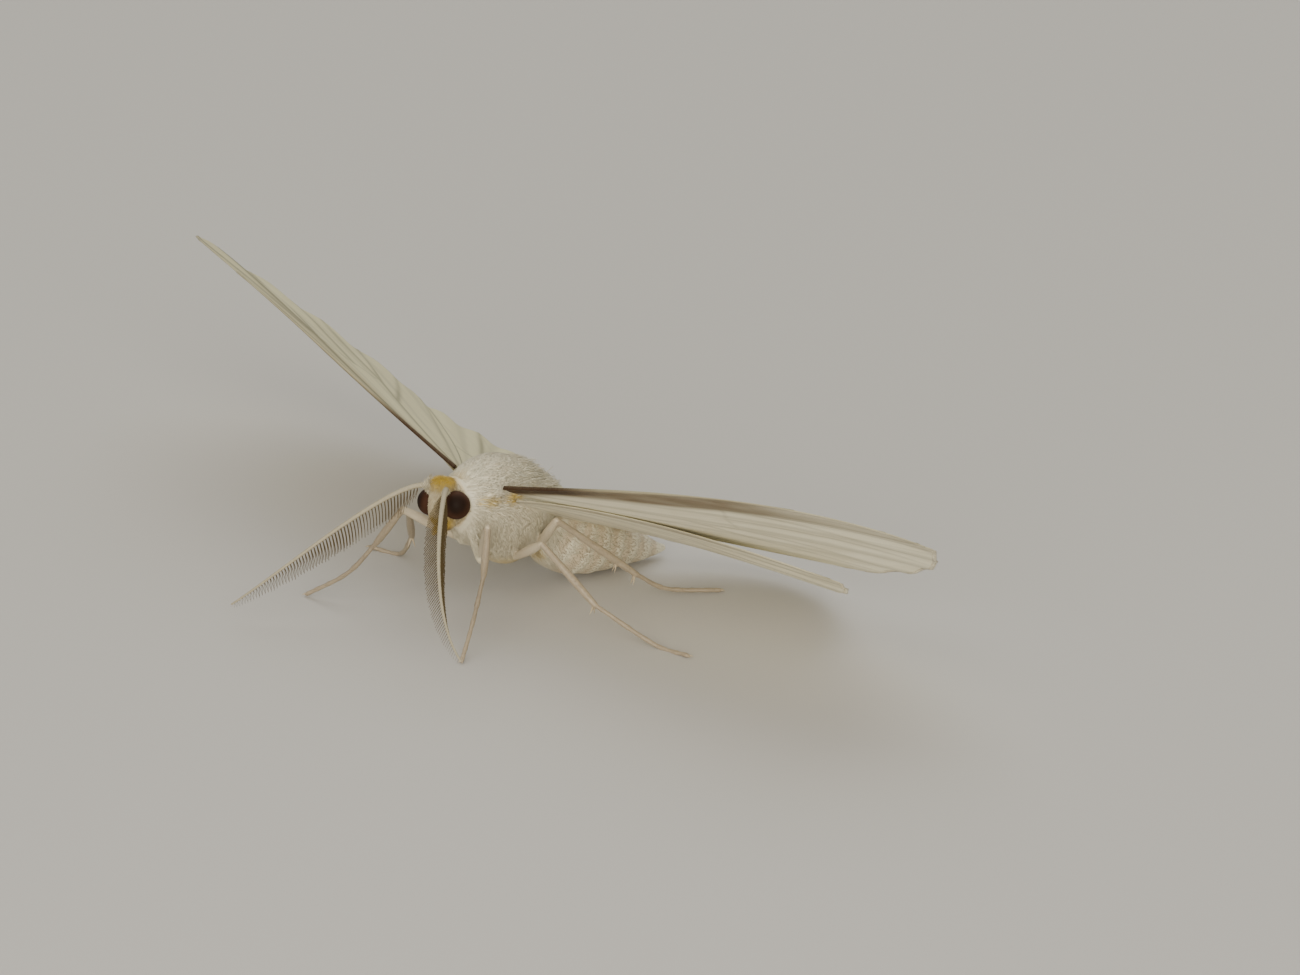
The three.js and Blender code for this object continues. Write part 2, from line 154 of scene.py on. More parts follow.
class Paint:
    """A material being painted: makes nodes, and ends in one Principled shader."""

    def __init__(self, name):
        self.material = bpy.data.materials.new(name)
        self.material.use_nodes = True
        self.tree = self.material.node_tree
        self.shader = self.tree.nodes["Principled BSDF"]

    @staticmethod
    def node_in(tree, kind, settings=None, inputs=(), output=0):
        node = tree.nodes.new(kind)
        for key, value in (settings or {}).items():
            setattr(node, key, value)
        pairs = inputs.items() if isinstance(inputs, dict) else enumerate(inputs)
        for key, value in pairs:
            if isinstance(value, Socket):
                tree.links.new(value.out, node.inputs[key])
            else:
                node.inputs[key].default_value = value
        return Socket(tree, node.outputs[output])

    def node(self, kind, settings=None, inputs=(), output=0):
        return self.node_in(self.tree, kind, settings, inputs, output)

    def attribute(self, name, output="Fac"):
        return self.node("ShaderNodeAttribute", {"attribute_name": name}, output=output)

    def part(self, vector, axis):
        return self.node("ShaderNodeSeparateXYZ", inputs=[vector], output=axis)

    def place(self):
        return self.node("ShaderNodeTexCoord", output="Object")

    def noise(self, vector, scale, detail=3.0):
        return self.node("ShaderNodeTexNoise", {}, {"Vector": vector, "Scale": scale, "Detail": detail})

    def mix(self, factor, a, b):
        """Colour a where the factor is 0, and b where it is 1."""
        def colour(c): return c if isinstance(c, Socket) else (*c, 1.0)
        return self.node("ShaderNodeMix", {"data_type": "RGBA"}, {0: factor, 6: colour(a), 7: colour(b)}, 2)

    def stretch(self, vector, scale):
        return self.node("ShaderNodeVectorMath", {"operation": "MULTIPLY"}, [vector, scale])

    def finish(self, colour, roughness, height=None, depth=0.00002, **constants):
        if isinstance(colour, Socket):
            self.tree.links.new(colour.out, self.shader.inputs["Base Color"])
        else:
            self.shader.inputs["Base Color"].default_value = (*colour, 1.0)
        if isinstance(roughness, Socket):
            self.tree.links.new(roughness.out, self.shader.inputs["Roughness"])
        else:
            self.shader.inputs["Roughness"].default_value = roughness
        if height is not None:
            bump = self.node("ShaderNodeBump", {}, {"Height": height, "Strength": 0.6, "Distance": depth})
            self.tree.links.new(bump.out, self.shader.inputs["Normal"])
        for name, value in constants.items():
            self.shader.inputs[name.replace("_", " ")].default_value = value
        return self.material


# %% [markdown]
# ## Colours
# Body and coat share one set of markings, worked out for any point of the body: how ochre, how
# brown and how pale it is. The skin and each tuft carry those three numbers, and one recipe turns
# them into colour, so that the hair never disagrees with the skin that it grows from.

# %% Finishes for body, coat and wings
WHITE = (0.80, 0.74, 0.55)
CREAM = (0.62, 0.51, 0.345)
OCHRE = (0.62, 0.40, 0.012)
BROWN = (0.05, 0.024, 0.010)


def scaly(name, roughness, grain):
    """White scales that turn ochre, brown or pale as the markings say."""
    paint = Paint(name)
    marks = paint.attribute("marks", "Vector")
    ochre, brown, shade = [paint.part(marks, i) for i in range(3)]
    place = paint.place()
    fine = paint.noise(paint.stretch(place, (1.0, 0.22, 0.7)), grain)
    broad = paint.noise(place, 500.0, 2.0)
    base = paint.mix((shade + (broad - 0.5) * 0.5).clamp(), WHITE, CREAM)
    base = paint.mix((ochre * (fine * 0.8 + 0.6)).clamp(), base, OCHRE)
    base = paint.mix((brown * (fine * 0.6 + 0.7)).clamp(), base, BROWN)
    base = paint.mix(((fine - 0.5) * 0.3 + 0.03).clamp(), base, (0.47, 0.40, 0.29))
    return paint.finish(base, broad * 0.3 + roughness, fine, 0.000005, Sheen_Weight=0.05,
                        Sheen_Roughness=0.35, Specular_IOR_Level=0.45)


skin_finish = scaly("body_scales", 0.24, 9000.0)
coat_finish = scaly("coat_hair", 0.2, 14000.0)


def wing_finish():
    """A satin membrane with fine scale rows, pleats, veins, an olive costa and a brown streak, and with
    painted shade in the pleat troughs, along the long veins and in lengthwise satin streaks.

    Sheen would lay a grey veil over every marking wherever a wing is seen edge on, so this finish
    has none, and it reflects little."""
    paint = Paint("wing_scales")
    spread = paint.attribute("spread", "Vector")
    out, back = paint.part(spread, 0), paint.part(spread, 1)
    vein, pleat = paint.attribute("vein"), paint.attribute("pleat")
    costa, streak, base_mark = [paint.part(paint.attribute("tints", "Vector"), i) for i in range(3)]
    under = paint.attribute("under")
    rows = paint.node("ShaderNodeCombineXYZ", inputs=[out * 9.0, back * 28.0, 0.0])
    scales = paint.noise(rows, 1.6, 2.0)
    cloud = paint.noise(paint.stretch(spread, (0.5, 1.6, 1.0)), 0.9, 4.0)
    # Painted shade: the lengthwise darker streaks of this noise stand in for the dim bands between the bright
    # satin bands of the scales. The same streaks also feed the bump.
    between = paint.noise(paint.stretch(spread, (0.12, 2.6, 1.0)), 1.0, 2.0)
    pale = paint.mix(under, (0.74, 0.69, 0.42), (0.86, 0.81, 0.62))
    base = paint.mix(((cloud - 0.42) * 0.9).clamp(), pale, (0.66, 0.59, 0.38))
    base = paint.mix(((scales - 0.45) * 0.5).clamp(), base, (0.48, 0.43, 0.28))
    base = paint.mix(((between - 0.52) * 1.8).clamp(), base, (0.46, 0.42, 0.285))
    # Painted shade: greyer in the troughs between the pleats.
    base = paint.mix((pleat * 0.3).clamp(), base, (0.36, 0.33, 0.225))
    olive = paint.mix(under, (0.44, 0.37, 0.20), (0.15, 0.10, 0.05))
    base = paint.mix((costa * (0.6 + cloud * 0.6)).clamp(), base, olive)
    # The vein number holds the veins' own darker colour and also painted shade along the long veins, the main
    # stems and the forewing's inner edge.
    vein_tone = paint.mix(under, (0.125, 0.115, 0.065), (0.24, 0.21, 0.135))
    base = paint.mix((vein * (0.8 - under * 0.35)).clamp(), base, vein_tone)
    flecks = (paint.noise(paint.stretch(spread, (1.0, 0.7, 1.0)), 2.9, 4.0) - 0.45) * 3.2
    base = paint.mix((base_mark * flecks.clamp() * 0.6).clamp(), base, (0.38, 0.30, 0.12))
    base = paint.mix((streak * (0.85 + scales * 0.3)).clamp(), base, BROWN)
    return paint.finish(base, 0.42 + scales * 0.2, scales * 0.5 + between * 0.5, 0.00001,
                        Specular_IOR_Level=0.22)


membrane_finish = wing_finish()
print("finishes:", [m.name for m in (skin_finish, coat_finish, membrane_finish)])

# %% [markdown]
# ## The body skin
# Under its scales the animal is one continuous hide: head, chest, belly and legs. Modelling it in
# one go from sculpted boxes would be slow. Here each part is a closed loft of rings, and a voxel
# remesh melts the overlapping lofts into one skin, so no seam is left at a hip or a waist. It is
# remeshed at a thousand times life size, because the voxels have a smallest allowed size.

# %% Rings and lofts
def loft(rings):
    """Points and faces of a closed loft through rings of equal length."""
    rings = np.asarray(rings)
    count, n = rings.shape[:2]
    points = list(rings.reshape(-1, 3))
    faces = [(r * n + i, r * n + (i + 1) % n, (r + 1) * n + (i + 1) % n, (r + 1) * n + i)
             for r in range(count - 1) for i in range(n)]
    points += [rings[0].mean(0), rings[-1].mean(0)]
    hub = count * n
    for i in range(n):
        faces.append(((i + 1) % n, i, hub))
        faces.append(((count - 1) * n + i, (count - 1) * n + (i + 1) % n, hub + 1))
    return np.array(points), faces


def resample(points, n):
    """n points at even steps along a smooth curve through the given ones."""
    points = np.asarray(points, float)
    ends = [2 * points[0] - points[1], *points, 2 * points[-1] - points[-2]]
    fine = []
    for a, b, c, d in zip(ends, ends[1:], ends[2:], ends[3:]):
        for t in np.linspace(0, 1, 16, endpoint=False):
            fine.append(0.5 * (2 * b + (c - a) * t + (2 * a - 5 * b + 4 * c - d) * t * t
                               + (3 * b - a - 3 * c + d) * t ** 3))
    fine = np.array([*fine, points[-1]])
    along = np.concatenate([[0], np.cumsum(np.linalg.norm(np.diff(fine[:, :3], axis=0), axis=1))])
    places = np.linspace(0, along[-1], n)
    return np.stack([np.interp(places, along, fine[:, k]) for k in range(fine.shape[1])], 1)


def tube(points, radii, sides=12):
    """A round loft along points, with domed ends."""
    points, radii = np.asarray(points, float), np.asarray(radii, float)
    tangent = unit(np.gradient(points, axis=0))
    first = np.array([0.0, 0.0, 1.0]) if abs(tangent[0, 2]) < 0.9 else np.array([1.0, 0.0, 0.0])
    rings = []
    normal = unit(first - tangent[0] * (first @ tangent[0]))
    angles = np.linspace(0, 2 * math.pi, sides, endpoint=False)
    for i, (point, t) in enumerate(zip(points, tangent)):
        normal = unit(normal - t * (normal @ t))
        side = np.cross(t, normal)
        circle = np.cos(angles)[:, None] * normal + np.sin(angles)[:, None] * side
        domes = {0: [(-0.94, 0.34), (-0.64, 0.77)], len(points) - 1: [(0.64, 0.77), (0.94, 0.34)]}
        body = [point + circle * radii[i]]
        caps = [point + t * radii[i] * a + circle * radii[i] * b for a, b in domes.get(i, [])]
        rings += caps + body if i == 0 else body + caps
    return loft(rings)


def ball(centre, radii, turn, sides=24):
    """An egg whose own axes are turned by a matrix."""
    lat = np.linspace(-math.pi / 2, math.pi / 2, sides // 2 + 1)[1:-1]
    lon = np.linspace(0, 2 * math.pi, sides, endpoint=False)
    rings = [[(math.cos(a) * math.cos(b), math.cos(a) * math.sin(b), math.sin(a)) for b in lon] for a in lat]
    points, faces = loft(rings)
    points[-2], points[-1] = (0, 0, -1), (0, 0, 1)
    return (points * radii) @ turn.T + centre, faces


# %% Measures of the body, in millimetres from home
HEAD_CENTRE = np.array([0.0, -1.85, -0.6])
THORAX = resample([
    [-1.45, -0.15, -1.35, 0.5], [-1.1, 0.26, -1.9, 0.88], [-0.5, 0.62, -2.59, 1.18],
    [0.3, 0.78, -3.35, 1.34], [1.1, 0.64, -3.76, 1.37], [1.9, 0.22, -3.72, 1.24],
    [2.6, -0.42, -3.42, 1.02], [3.0, -0.95, -3.1, 0.7]], 30)
ABDOMEN = resample([
    [0, 2.5, -2.1, 0.8], [0.05, 3.15, -2.8, 1.15], [0.15, 3.9, -3.4, 1.35], [0.27, 4.75, -3.74, 1.3],
    [0.4, 5.57, -4.0, 1.13], [0.55, 6.4, -4.29, 0.88], [0.7, 7.2, -4.6, 0.56], [0.83, 7.9, -4.82, 0.27],
    [0.93, 8.33, -4.88, 0.1]], 90)
SEGMENTS = 8.0
SCAPE_FOOT = (.46, -.16, .66)
FLOOR = -HINGE_HEIGHT
TOE = FLOOR + 0.11
LEGS = {
    "fore_left": [(.48, -.44, -2.98), (2.18, -1.62, -.89), (2.24, -1.87, -2.7), (2.86, -2.95, -4.02),
                  (3.43, -4.03, TOE)],
    "fore_right": [(-.5, -.5, -2.5), (-1.81, -2.28, -1.19), (-2.66, -2.84, -2.67), (-3.5, -3.5, -3.95),
                   (-5.1, -4.13, TOE)],
    "mid_left": [(.5, 1.1, -3.42), (2.92, .41, -1.87), (5.32, .9, -3.71), (7.12, 2.25, TOE + .03),
                 (8.66, 2.52, TOE)],
    "mid_right": [(-.5, .9, -3.38), (-2.58, -1.29, -1.84), (-4.15, .25, -3.75), (-5.6, .95, TOE + .03),
                  (-6.9, .6, TOE)],
    "hind_left": [(.35, 2.25, -3.6), (2.35, 1.65, -1.45), (3.67, 4.46, -4.02), (3.95, 5.7, -4.85),
                  (4.88, 7.53, TOE)],
    "hind_right": [(-.35, 2.25, -3.6), (-2.35, 1.7, -1.5), (-3.75, 4.35, -4.0), (-4.2, 5.6, -4.85),
                   (-5.2, 6.95, TOE)],
}


def turned(roll, yaw):
    """The head's tilt to its right and turn to its left, in degrees."""
    r, y = math.radians(roll), math.radians(yaw)
    tilt = np.array([[math.cos(r), 0, -math.sin(r)], [0, 1, 0], [math.sin(r), 0, math.cos(r)]])
    turn = np.array([[math.cos(y), -math.sin(y), 0], [math.sin(y), math.cos(y), 0], [0, 0, 1]])
    return turn @ tilt


HEAD_TURN = turned(9, 6.5)
print("legs:", ", ".join(LEGS))


def on_head(*point):
    return np.array(point) @ HEAD_TURN.T + HEAD_CENTRE


# %% Lofts of the body
def thorax_rings(sides=32):
    angles = np.linspace(0, 2 * math.pi, sides, endpoint=False)
    rings = []
    for y, top, bottom, width in THORAX:
        middle = top - (top - bottom) * 0.42
        s, c = np.sin(angles), np.cos(angles)
        tall = np.where(s > 0, top - middle, middle - bottom)
        narrow = np.where(s < 0, 1 - 0.28 * s * s, 1.0)
        rings.append(np.stack([width * narrow * c, np.full(sides, y), middle + tall * s], 1))
    return rings


def abdomen_rings(sides=36):
    """Each segment swells a little towards its hind edge and steps down onto the next one."""
    centres, radii = ABDOMEN[:, :3], ABDOMEN[:, 3]
    tangent = unit(np.gradient(centres, axis=0))
    angles = np.linspace(0, 2 * math.pi, sides, endpoint=False)
    rings = []
    for k, (centre, t, radius) in enumerate(zip(centres, tangent, radii)):
        across = unit(np.array([1.0, 0, 0]) - t * t[0])
        up = np.cross(across, t)
        share = (k / (len(centres) - 1) * SEGMENTS) % 1.0
        swell = 1 + 0.045 * (share - 0.5) - 0.028 * step(0.86, 1.0, share)
        crease = 1 - 0.035 * np.exp(-((np.abs(np.cos(angles)) - 0.96) / 0.05) ** 2)
        r = (radius * swell * crease)[:, None]
        rings.append(centre + (np.cos(angles)[:, None] * across + np.sin(angles)[:, None] * up) * r)
    return rings


def leg_lofts(name, joints):
    """Coxa, femur, tibia and a five-jointed tarsus, each a tube that swells towards its ends."""
    hip, knee, ankle, *foot = [np.array(j, float) for j in joints]
    side = math.copysign(1, hip[0])
    root = np.array([.5 * side, -.8, -1.6]) if "fore" in name else np.array([.35 * side, hip[1] - .3, -2.7])
    t = np.linspace(0, 1, 14)
    thick, thin = (0.34, 0.2) if "fore" in name else (0.14, 0.07)
    parts = [tube(root + (hip - root) * t[:, None], thick + (thin - thick) * t)]
    parts.append(tube(hip + (knee - hip) * t[:, None], 0.065 + 0.095 * np.sin(math.pi * t) ** 0.8 + 0.06 * t))
    parts.append(tube(knee + (ankle - knee) * t[:, None], 0.125 + 0.03 * np.sin(math.pi * t ** 1.5)))
    path = resample([ankle, *foot], 46)
    u = np.linspace(0, 1, 46)
    joint = np.interp(u, [0, .36, .57, .73, .87, 1], [0, 1, 2, 3, 4, 5]) % 1.0
    parts.append(tube(path, 0.094 + 0.022 * joint ** 3 * (u < 0.99) - 0.008 * u, 10))
    return parts


lofts = [loft(thorax_rings()), loft(abdomen_rings())]
lofts.append(ball(on_head(0, 0, -.06), (.58, .56, .9), HEAD_TURN))
lofts.append(ball(on_head(0, -.16, -.1), (.40, .52, .72), HEAD_TURN))
lofts.append(ball(on_head(0, .08, .76), (.44, .42, .36), HEAD_TURN))
lofts.append(ball(on_head(0, .42, 0), (.56, .4, .7), HEAD_TURN))
lofts.append(ball(on_head(0, .62, .42), (.72, .46, .52), HEAD_TURN))
for side in (1, -1):
    lofts.append(tube([on_head(.16 * side, -.25, -.78), on_head(.16 * side, -.44, -.92),
                       on_head(.14 * side, -.62, -.96)], [.12, .12, .06]))
    lofts.append(tube([on_head(.3 * side, -.1, .5), on_head(.42 * side, -.23, .7)], [.13, .1]))
    tegula = np.array([.9 * side, -.05, -.2])
    lofts.append(ball(tegula, (.36, .7, .22), turned(0, 12 * side)))
for name, joints in LEGS.items():
    lofts += leg_lofts(name, joints)
print(len(lofts), "lofts make up the body")

# %% Melt the lofts into one skin
VOXEL = 0.055
points, faces = [], []
for part_points, part_faces in lofts:
    start = sum(len(p) for p in points)
    points.append(part_points + HOME)
    faces += [tuple(i + start for i in face) for face in part_faces]
rough = link(make_mesh("rough", np.concatenate(points), faces, 1.0), "rough")
remesh = rough.modifiers.new("melt", "REMESH")
remesh.mode = "VOXEL"
remesh.voxel_size = VOXEL
relax = rough.modifiers.new("relax", "SMOOTH")
relax.factor, relax.iterations = 0.5, 4
graph = bpy.context.evaluated_depsgraph_get()
skin_mesh = bpy.data.meshes.new_from_object(rough.evaluated_get(graph))
bpy.data.objects.remove(rough)
skin_mesh.name = "body_skin"
smooth(skin_mesh)


def array_of(mesh, field="co"):
    """The places, or the normals, of a mesh's points."""
    data = np.empty(len(mesh.vertices) * 3, np.float32)
    mesh.vertices.foreach_get(field, data)
    return data.reshape(-1, 3).astype(float)


skin_points = array_of(skin_mesh) - HOME
skin_points[:, 2] = np.maximum(skin_points[:, 2], FLOOR)
skin_normals = array_of(skin_mesh, field="normal")
print("skin:", len(skin_mesh.vertices), "points,", len(skin_mesh.polygons), "faces")

# %% [markdown]
# ## Which part, and which way the hair lies
# Every point of the skin belongs to the head, the chest, the belly or a leg. Its place along that
# part and round it gives both the lie of the scales, which point away from the head and down each
# leg, and an unwrapping of the skin that the tufts use for their own map.

# %% Places on the body
LEG_LINES = []
for name, joints in LEGS.items():
    hip, knee, ankle, *foot = [np.array(j, float) for j in joints]
    LEG_LINES += [(name, "femur", np.array([hip, knee])), (name, "tibia", np.array([knee, ankle])),
                  (name, "tarsus", resample([ankle, *foot], 12))]


def nearest_on(line, points):
    """Distance from, place along (0 to 1) and direction of the nearest stretch of a line."""
    best = np.full(len(points), 1e9)
    share, heading, foot = np.zeros(len(points)), np.zeros((len(points), 3)), np.zeros((len(points), 3))
    for i, (a, b) in enumerate(zip(line, line[1:])):
        t = np.clip((points - a) @ (b - a) / ((b - a) @ (b - a)), 0, 1)
        near = a + t[:, None] * (b - a)
        d = np.linalg.norm(points - near, axis=1)
        closer = d < best
        best = np.where(closer, d, best)
        share = np.where(closer, (i + t) / (len(line) - 1), share)
        heading[closer], foot[closer] = unit(b - a), near[closer]
    return best, share, heading, foot


def survey(points):
    """Part, lie of the hair, place along the part and angle round it, for points of the skin."""
    n = len(points)
    part = np.full(n, "thorax", dtype="<U8")
    flank = step(-0.5, -1.5, points[:, 2]) * step(0.35, 0.9, np.abs(points[:, 0]))
    lie = np.stack([0 * flank, 1 - 0.55 * flank, -0.22 - 0.75 * flank], 1)
    along = np.clip((points[:, 1] + 1.5) / 4.6, 0, 1)
    angle = np.arctan2(points[:, 2] + 1.3, points[:, 0]) / (2 * math.pi) + 0.5
    gap, share, heading, foot = nearest_on(ABDOMEN[::6, :3], points)
    belly = (points[:, 1] > 2.75) & (points[:, 2] < -1.0) & (gap < 1.5)
    part[belly], lie[belly], along[belly] = "abdomen", heading[belly], share[belly]
    ray = points - foot
    angle[belly] = (np.arctan2(ray[:, 2], ray[:, 0]) / (2 * math.pi) + 0.5)[belly]
    ahead = points - HEAD_CENTRE
    local = ahead @ HEAD_TURN
    is_head = (np.linalg.norm(ahead / [0.9, 0.95, 1.15], axis=1) < 1.12) & (points[:, 1] < -1.28)
    part[is_head] = "head"
    fan = np.stack([local[:, 0] * 0.6, 0.5 + 0 * local[:, 0], -local[:, 2] - 0.2], 1)
    fan[:, 1] = np.where(local[:, 2] > 0.45, -0.55, 0.15)
    lie[is_head] = unit(fan @ HEAD_TURN.T)[is_head]
    along[is_head] = (np.arctan2(local[:, 1], local[:, 0]) / (2 * math.pi) + 0.5)[is_head]
    angle[is_head] = np.clip(local[:, 2] / 2.4 + 0.5, 0, 1)[is_head]
    reach = {"femur": 0.27, "tibia": 0.24, "tarsus": 0.2}
    closest = np.full(n, 9.0)
    for i, (_, length, line) in enumerate(LEG_LINES):
        gap, share, heading, foot = nearest_on(line, points)
        mine = (gap < reach[length]) & (gap < closest)
        if length == "femur":
            mine &= share > 0.12
        part[mine], lie[mine], closest[mine] = "leg", heading[mine], gap[mine]
        ray = points - foot
        angle[mine] = (np.arctan2(ray[:, 2], ray[:, 0] + ray[:, 1]) / (2 * math.pi) + 0.5)[mine]
        along[mine] = ((i + share) / len(LEG_LINES))[mine]
    return part, lie, along, angle


def glow(points, centre, radius, core=0.35):
    """1 within the core of a centre, falling smoothly to 0 at a radius."""
    return 1 - step(core, 1.0, np.linalg.norm((points - np.array(centre)) / radius, axis=1))


def markings(points, part, along):
    """Ochre, brown and shade of the scales at points of the body."""
    ochre, brown = np.zeros(len(points)), np.zeros(len(points))
    local = (points - HEAD_CENTRE) @ HEAD_TURN
    on = part == "head"
    crown = 0.95 * glow(local, (0.08, 0.1, 1.12), (0.92, 0.9, 0.7), 0.12)
    chin = glow(local, (0, -0.4, -0.62), (0.8, 0.75, 0.6))
    ochre = np.maximum(np.where(on, np.maximum(chin * 0.9, 0.2), ochre), crown)
    brown = np.where(on, 0.12 * chin, brown)
    for side in (1, -1):
        ochre = np.maximum(ochre, 0.8 * glow(points, (1.15 * side, .2, -.5), (.5, .5, .36)))
        ochre = np.maximum(ochre, 0.6 * glow(points, (1.0 * side, -.75, -.42), (.36, .42, .3)))
        ochre = np.maximum(ochre, 0.9 * glow(points, (.62 * side, -.1, -2.95), (.26, .26, .26)))
    under = (part == "thorax") & (points[:, 2] < -2.6) & (points[:, 1] < 2.4)
    ochre = np.where(under, np.maximum(ochre, 0.4 * step(-2.7, -3.6, points[:, 2])), ochre)
    shade = np.where(part == "leg", 1.0, 0.14)
    rings = np.abs(((along * SEGMENTS) % 1.0) - 0.5) * 2
    shade = np.where(part == "abdomen", 0.85 - 1.2 * step(0.35, 0.8, rings), shade)
    shade = np.where(part == "head", 0.5, shade)
    femur = (part == "leg") & (np.floor(along * 18 - 1e-6) % 3 == 0)
    shade = np.where(femur, 0.75, shade)
    brown = np.where(part == "leg", np.where(femur, 0.12, 0.42), brown)
    for side in (1, -1):
        # Painted highlight: satin patches on each flank and shoulder of the chest are made paler, standing in
        # for the gloss of the scales there. The white round the foot of each feeler is the scales' own
        # colour.
        satin = np.maximum(glow(points, (1.2 * side, 1.55, -1.85), (.45, .5, .55)),
                           glow(points, (.4 * side, -.85, .35), (.5, .4, .35)))
        scape = glow(local, (SCAPE_FOOT[0] * side, *SCAPE_FOOT[1:]), (.3, .3, .3)) * on
        shade = shade - 0.4 * satin * (part == "thorax") - 0.5 * scape
        ochre = ochre * (1 - 0.8 * scape)
    inner = (part == "leg") & (points[:, 1] < -1.4)
    shin = 0.12 * step(-1.0, -3.2, points[:, 2]) * step(-4.9, -3.4, points[:, 2])
    brown = np.where(inner & ~femur, 0.42 + shin, brown)
    return np.stack([ochre, brown, shade], 1)


part, lie, along, angle = survey(skin_points)
put(skin_mesh, "marks", markings(skin_points, part, along), "FLOAT_VECTOR")
skin_mesh.vertices.foreach_set("co", ((skin_points + HOME) * MM).astype(np.float32).ravel())
skin_mesh.update()
skin = link(skin_mesh, "body_skin")
skin_mesh.materials.clear()
skin_mesh.materials.append(skin_finish)
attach(skin, "root")
leg_nodes = [f"leg_{name}_{length}" for name in LEGS for length in ("femur", "tibia", "tarsus")]
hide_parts("head", "thorax", "abdomen", *leg_nodes)
print({name: int((part == name).sum()) for name in ("head", "thorax", "abdomen", "leg")})

# %% [markdown]
# ## Tufts of scales
# A moth's fur is made of stretched scales. Hair curves are not kept in a model of meshes alone,
# so each tuft is a thin closed spindle of real mesh, wider than it is thick. A straight one would
# stand off a round body and look woolly, so each ring of a body tuft is brought back to the skin
# below it and then lifted a little. They are made all at once from arrays, because tens of
# thousands of them would be slow one by one.

# %% Faces of the skin, and the way back to it
skin_mesh.calc_loop_triangles()
triangles = np.empty(len(skin_mesh.loop_triangles) * 3, np.int32)
skin_mesh.loop_triangles.foreach_get("vertices", triangles)
triangles = triangles.reshape(-1, 3)
corner = skin_points[triangles]
facing = np.cross(corner[:, 1] - corner[:, 0], corner[:, 2] - corner[:, 0])
area = np.linalg.norm(facing, axis=1) / 2
hide = BVHTree.FromPolygons(skin_points.tolist(), triangles.tolist())


def skin_under(points):
    """The nearest place of the skin to each point, and the way out of the skin there."""
    found = [hide.find_nearest(point) for point in points]
    place = np.array([tuple(spot) for spot, _, _, _ in found])
    return place, unit(skin_normals[triangles[[index for _, _, index, _ in found]]].mean(1))


centre_part = part[triangles[:, 0]]
print("skin area by part, sq mm:", {p: round(float(area[centre_part == p].sum()), 1) for p in set(part)})

# %% The tuft builder
TUFT_PATCH = 0.003
TUFT_POINTS = 10


def tufts(name, roots, lie, normals, length, width, lift, marks, chart, seed=1, hug=0.0):
    """One piece of closed spindles. Each has its own small patch of the chart."""
    rng = np.random.default_rng(seed)
    n = len(roots)
    heading = unit(lie - normals * np.sum(lie * normals, 1)[:, None])
    across = np.cross(heading, normals)
    swing = rng.normal(0, 0.16, n)[:, None]
    heading, across = unit(heading + across * swing), unit(across - heading * swing)
    length = length * rng.uniform(0.75, 1.2, n)
    lift = lift * rng.uniform(0.5, 1.5, n)
    rings = [(0.0, 0.62), (0.42, 1.0), (0.78, 0.72)]
    corners = [(-1.0, 0.0), (1.0, 0.0), (0.0, 0.24)]
    points = np.empty((n, TUFT_POINTS, 3))
    for r, (t, size) in enumerate(rings + [(1.0, 0.0)]):
        rise = lift * (t - 0.62 * t * t) - 0.025 * (1 - t) / np.maximum(length, 1e-6)
        spine, up = roots + heading * (length * t)[:, None], normals
        if hug and t:
            place, up = skin_under(spine)
            spine = spine + (place - spine) * hug
        spine = spine + up * (length * rise)[:, None]
        if r == 3:
            points[:, -1] = spine
            break
        for c, (x, z) in enumerate(corners):
            half = (width * size / 2)[:, None]
            points[:, r * 3 + c] = spine + across * x * half + up * z * half
    points[..., 2] = np.maximum(points[..., 2], FLOOR)
    template = [(0, 1, 2)]
    for r in (0, 3):
        template += [(r + a, r + 3 + a, r + 3 + b, r + b) for a, b in ((0, 1), (1, 2), (2, 0))]
    template += [(6 + a, TUFT_POINTS - 1, 6 + b) for a, b in ((0, 1), (1, 2), (2, 0))]
    sizes = [len(f) for f in template]
    loops = np.concatenate([np.array(f) for f in template])
    mesh = bpy.data.meshes.new(name)
    mesh.vertices.add(n * TUFT_POINTS)
    mesh.loops.add(n * len(loops))
    mesh.polygons.add(n * len(template))
    mesh.vertices.foreach_set("co", ((points + HOME) * MM).astype(np.float32).ravel())
    offset = (np.arange(n) * TUFT_POINTS)[:, None]
    mesh.loops.foreach_set("vertex_index", (loops[None] + offset).astype(np.int32).ravel())
    starts = np.concatenate([[0], np.cumsum(sizes)[:-1]])
    mesh.polygons.foreach_set(
        "loop_start", (starts[None] + (np.arange(n) * len(loops))[:, None]).astype(np.int32).ravel())
    mesh.update(calc_edges=True)
    smooth(mesh)
    put(mesh, "marks", np.repeat(marks, TUFT_POINTS, 0), "FLOAT_VECTOR")
    grid = [(c / 2 - 0.5, r / 3 - 0.5) for r in range(3) for c in range(3)] + [(0, 0.5)]
    grid = np.array(grid) * TUFT_PATCH
    spots = chart[:, None] + grid[loops][None]
    uv = mesh.uv_layers.new(name="OFBake")
    uv.data.foreach_set("uv", spots.astype(np.float32).ravel())
    mesh.materials.append(coat_finish)
    obj = link(mesh, name)
    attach(obj, "root")
    print(f"{name}: {n} tufts, {n * sum(size - 2 for size in sizes)} triangles")
    return obj


# %% Sow the tufts over the skin
def sow(mask, count, seed):
    """Random points on the chosen faces of the skin, even by area."""
    rng = np.random.default_rng(seed)
    chosen = np.flatnonzero(mask)
    pick = rng.choice(chosen, count, p=area[chosen] / area[chosen].sum())
    a, b = rng.random((2, count))
    flip = a + b > 1
    a, b = np.where(flip, 1 - a, a), np.where(flip, 1 - b, b)
    spots = corner[pick, 0] + a[:, None] * (corner[pick, 1] - corner[pick, 0]) \
        + b[:, None] * (corner[pick, 2] - corner[pick, 0])
    blended = unit(skin_normals[triangles[pick]].mean(1))
    return spots, blended


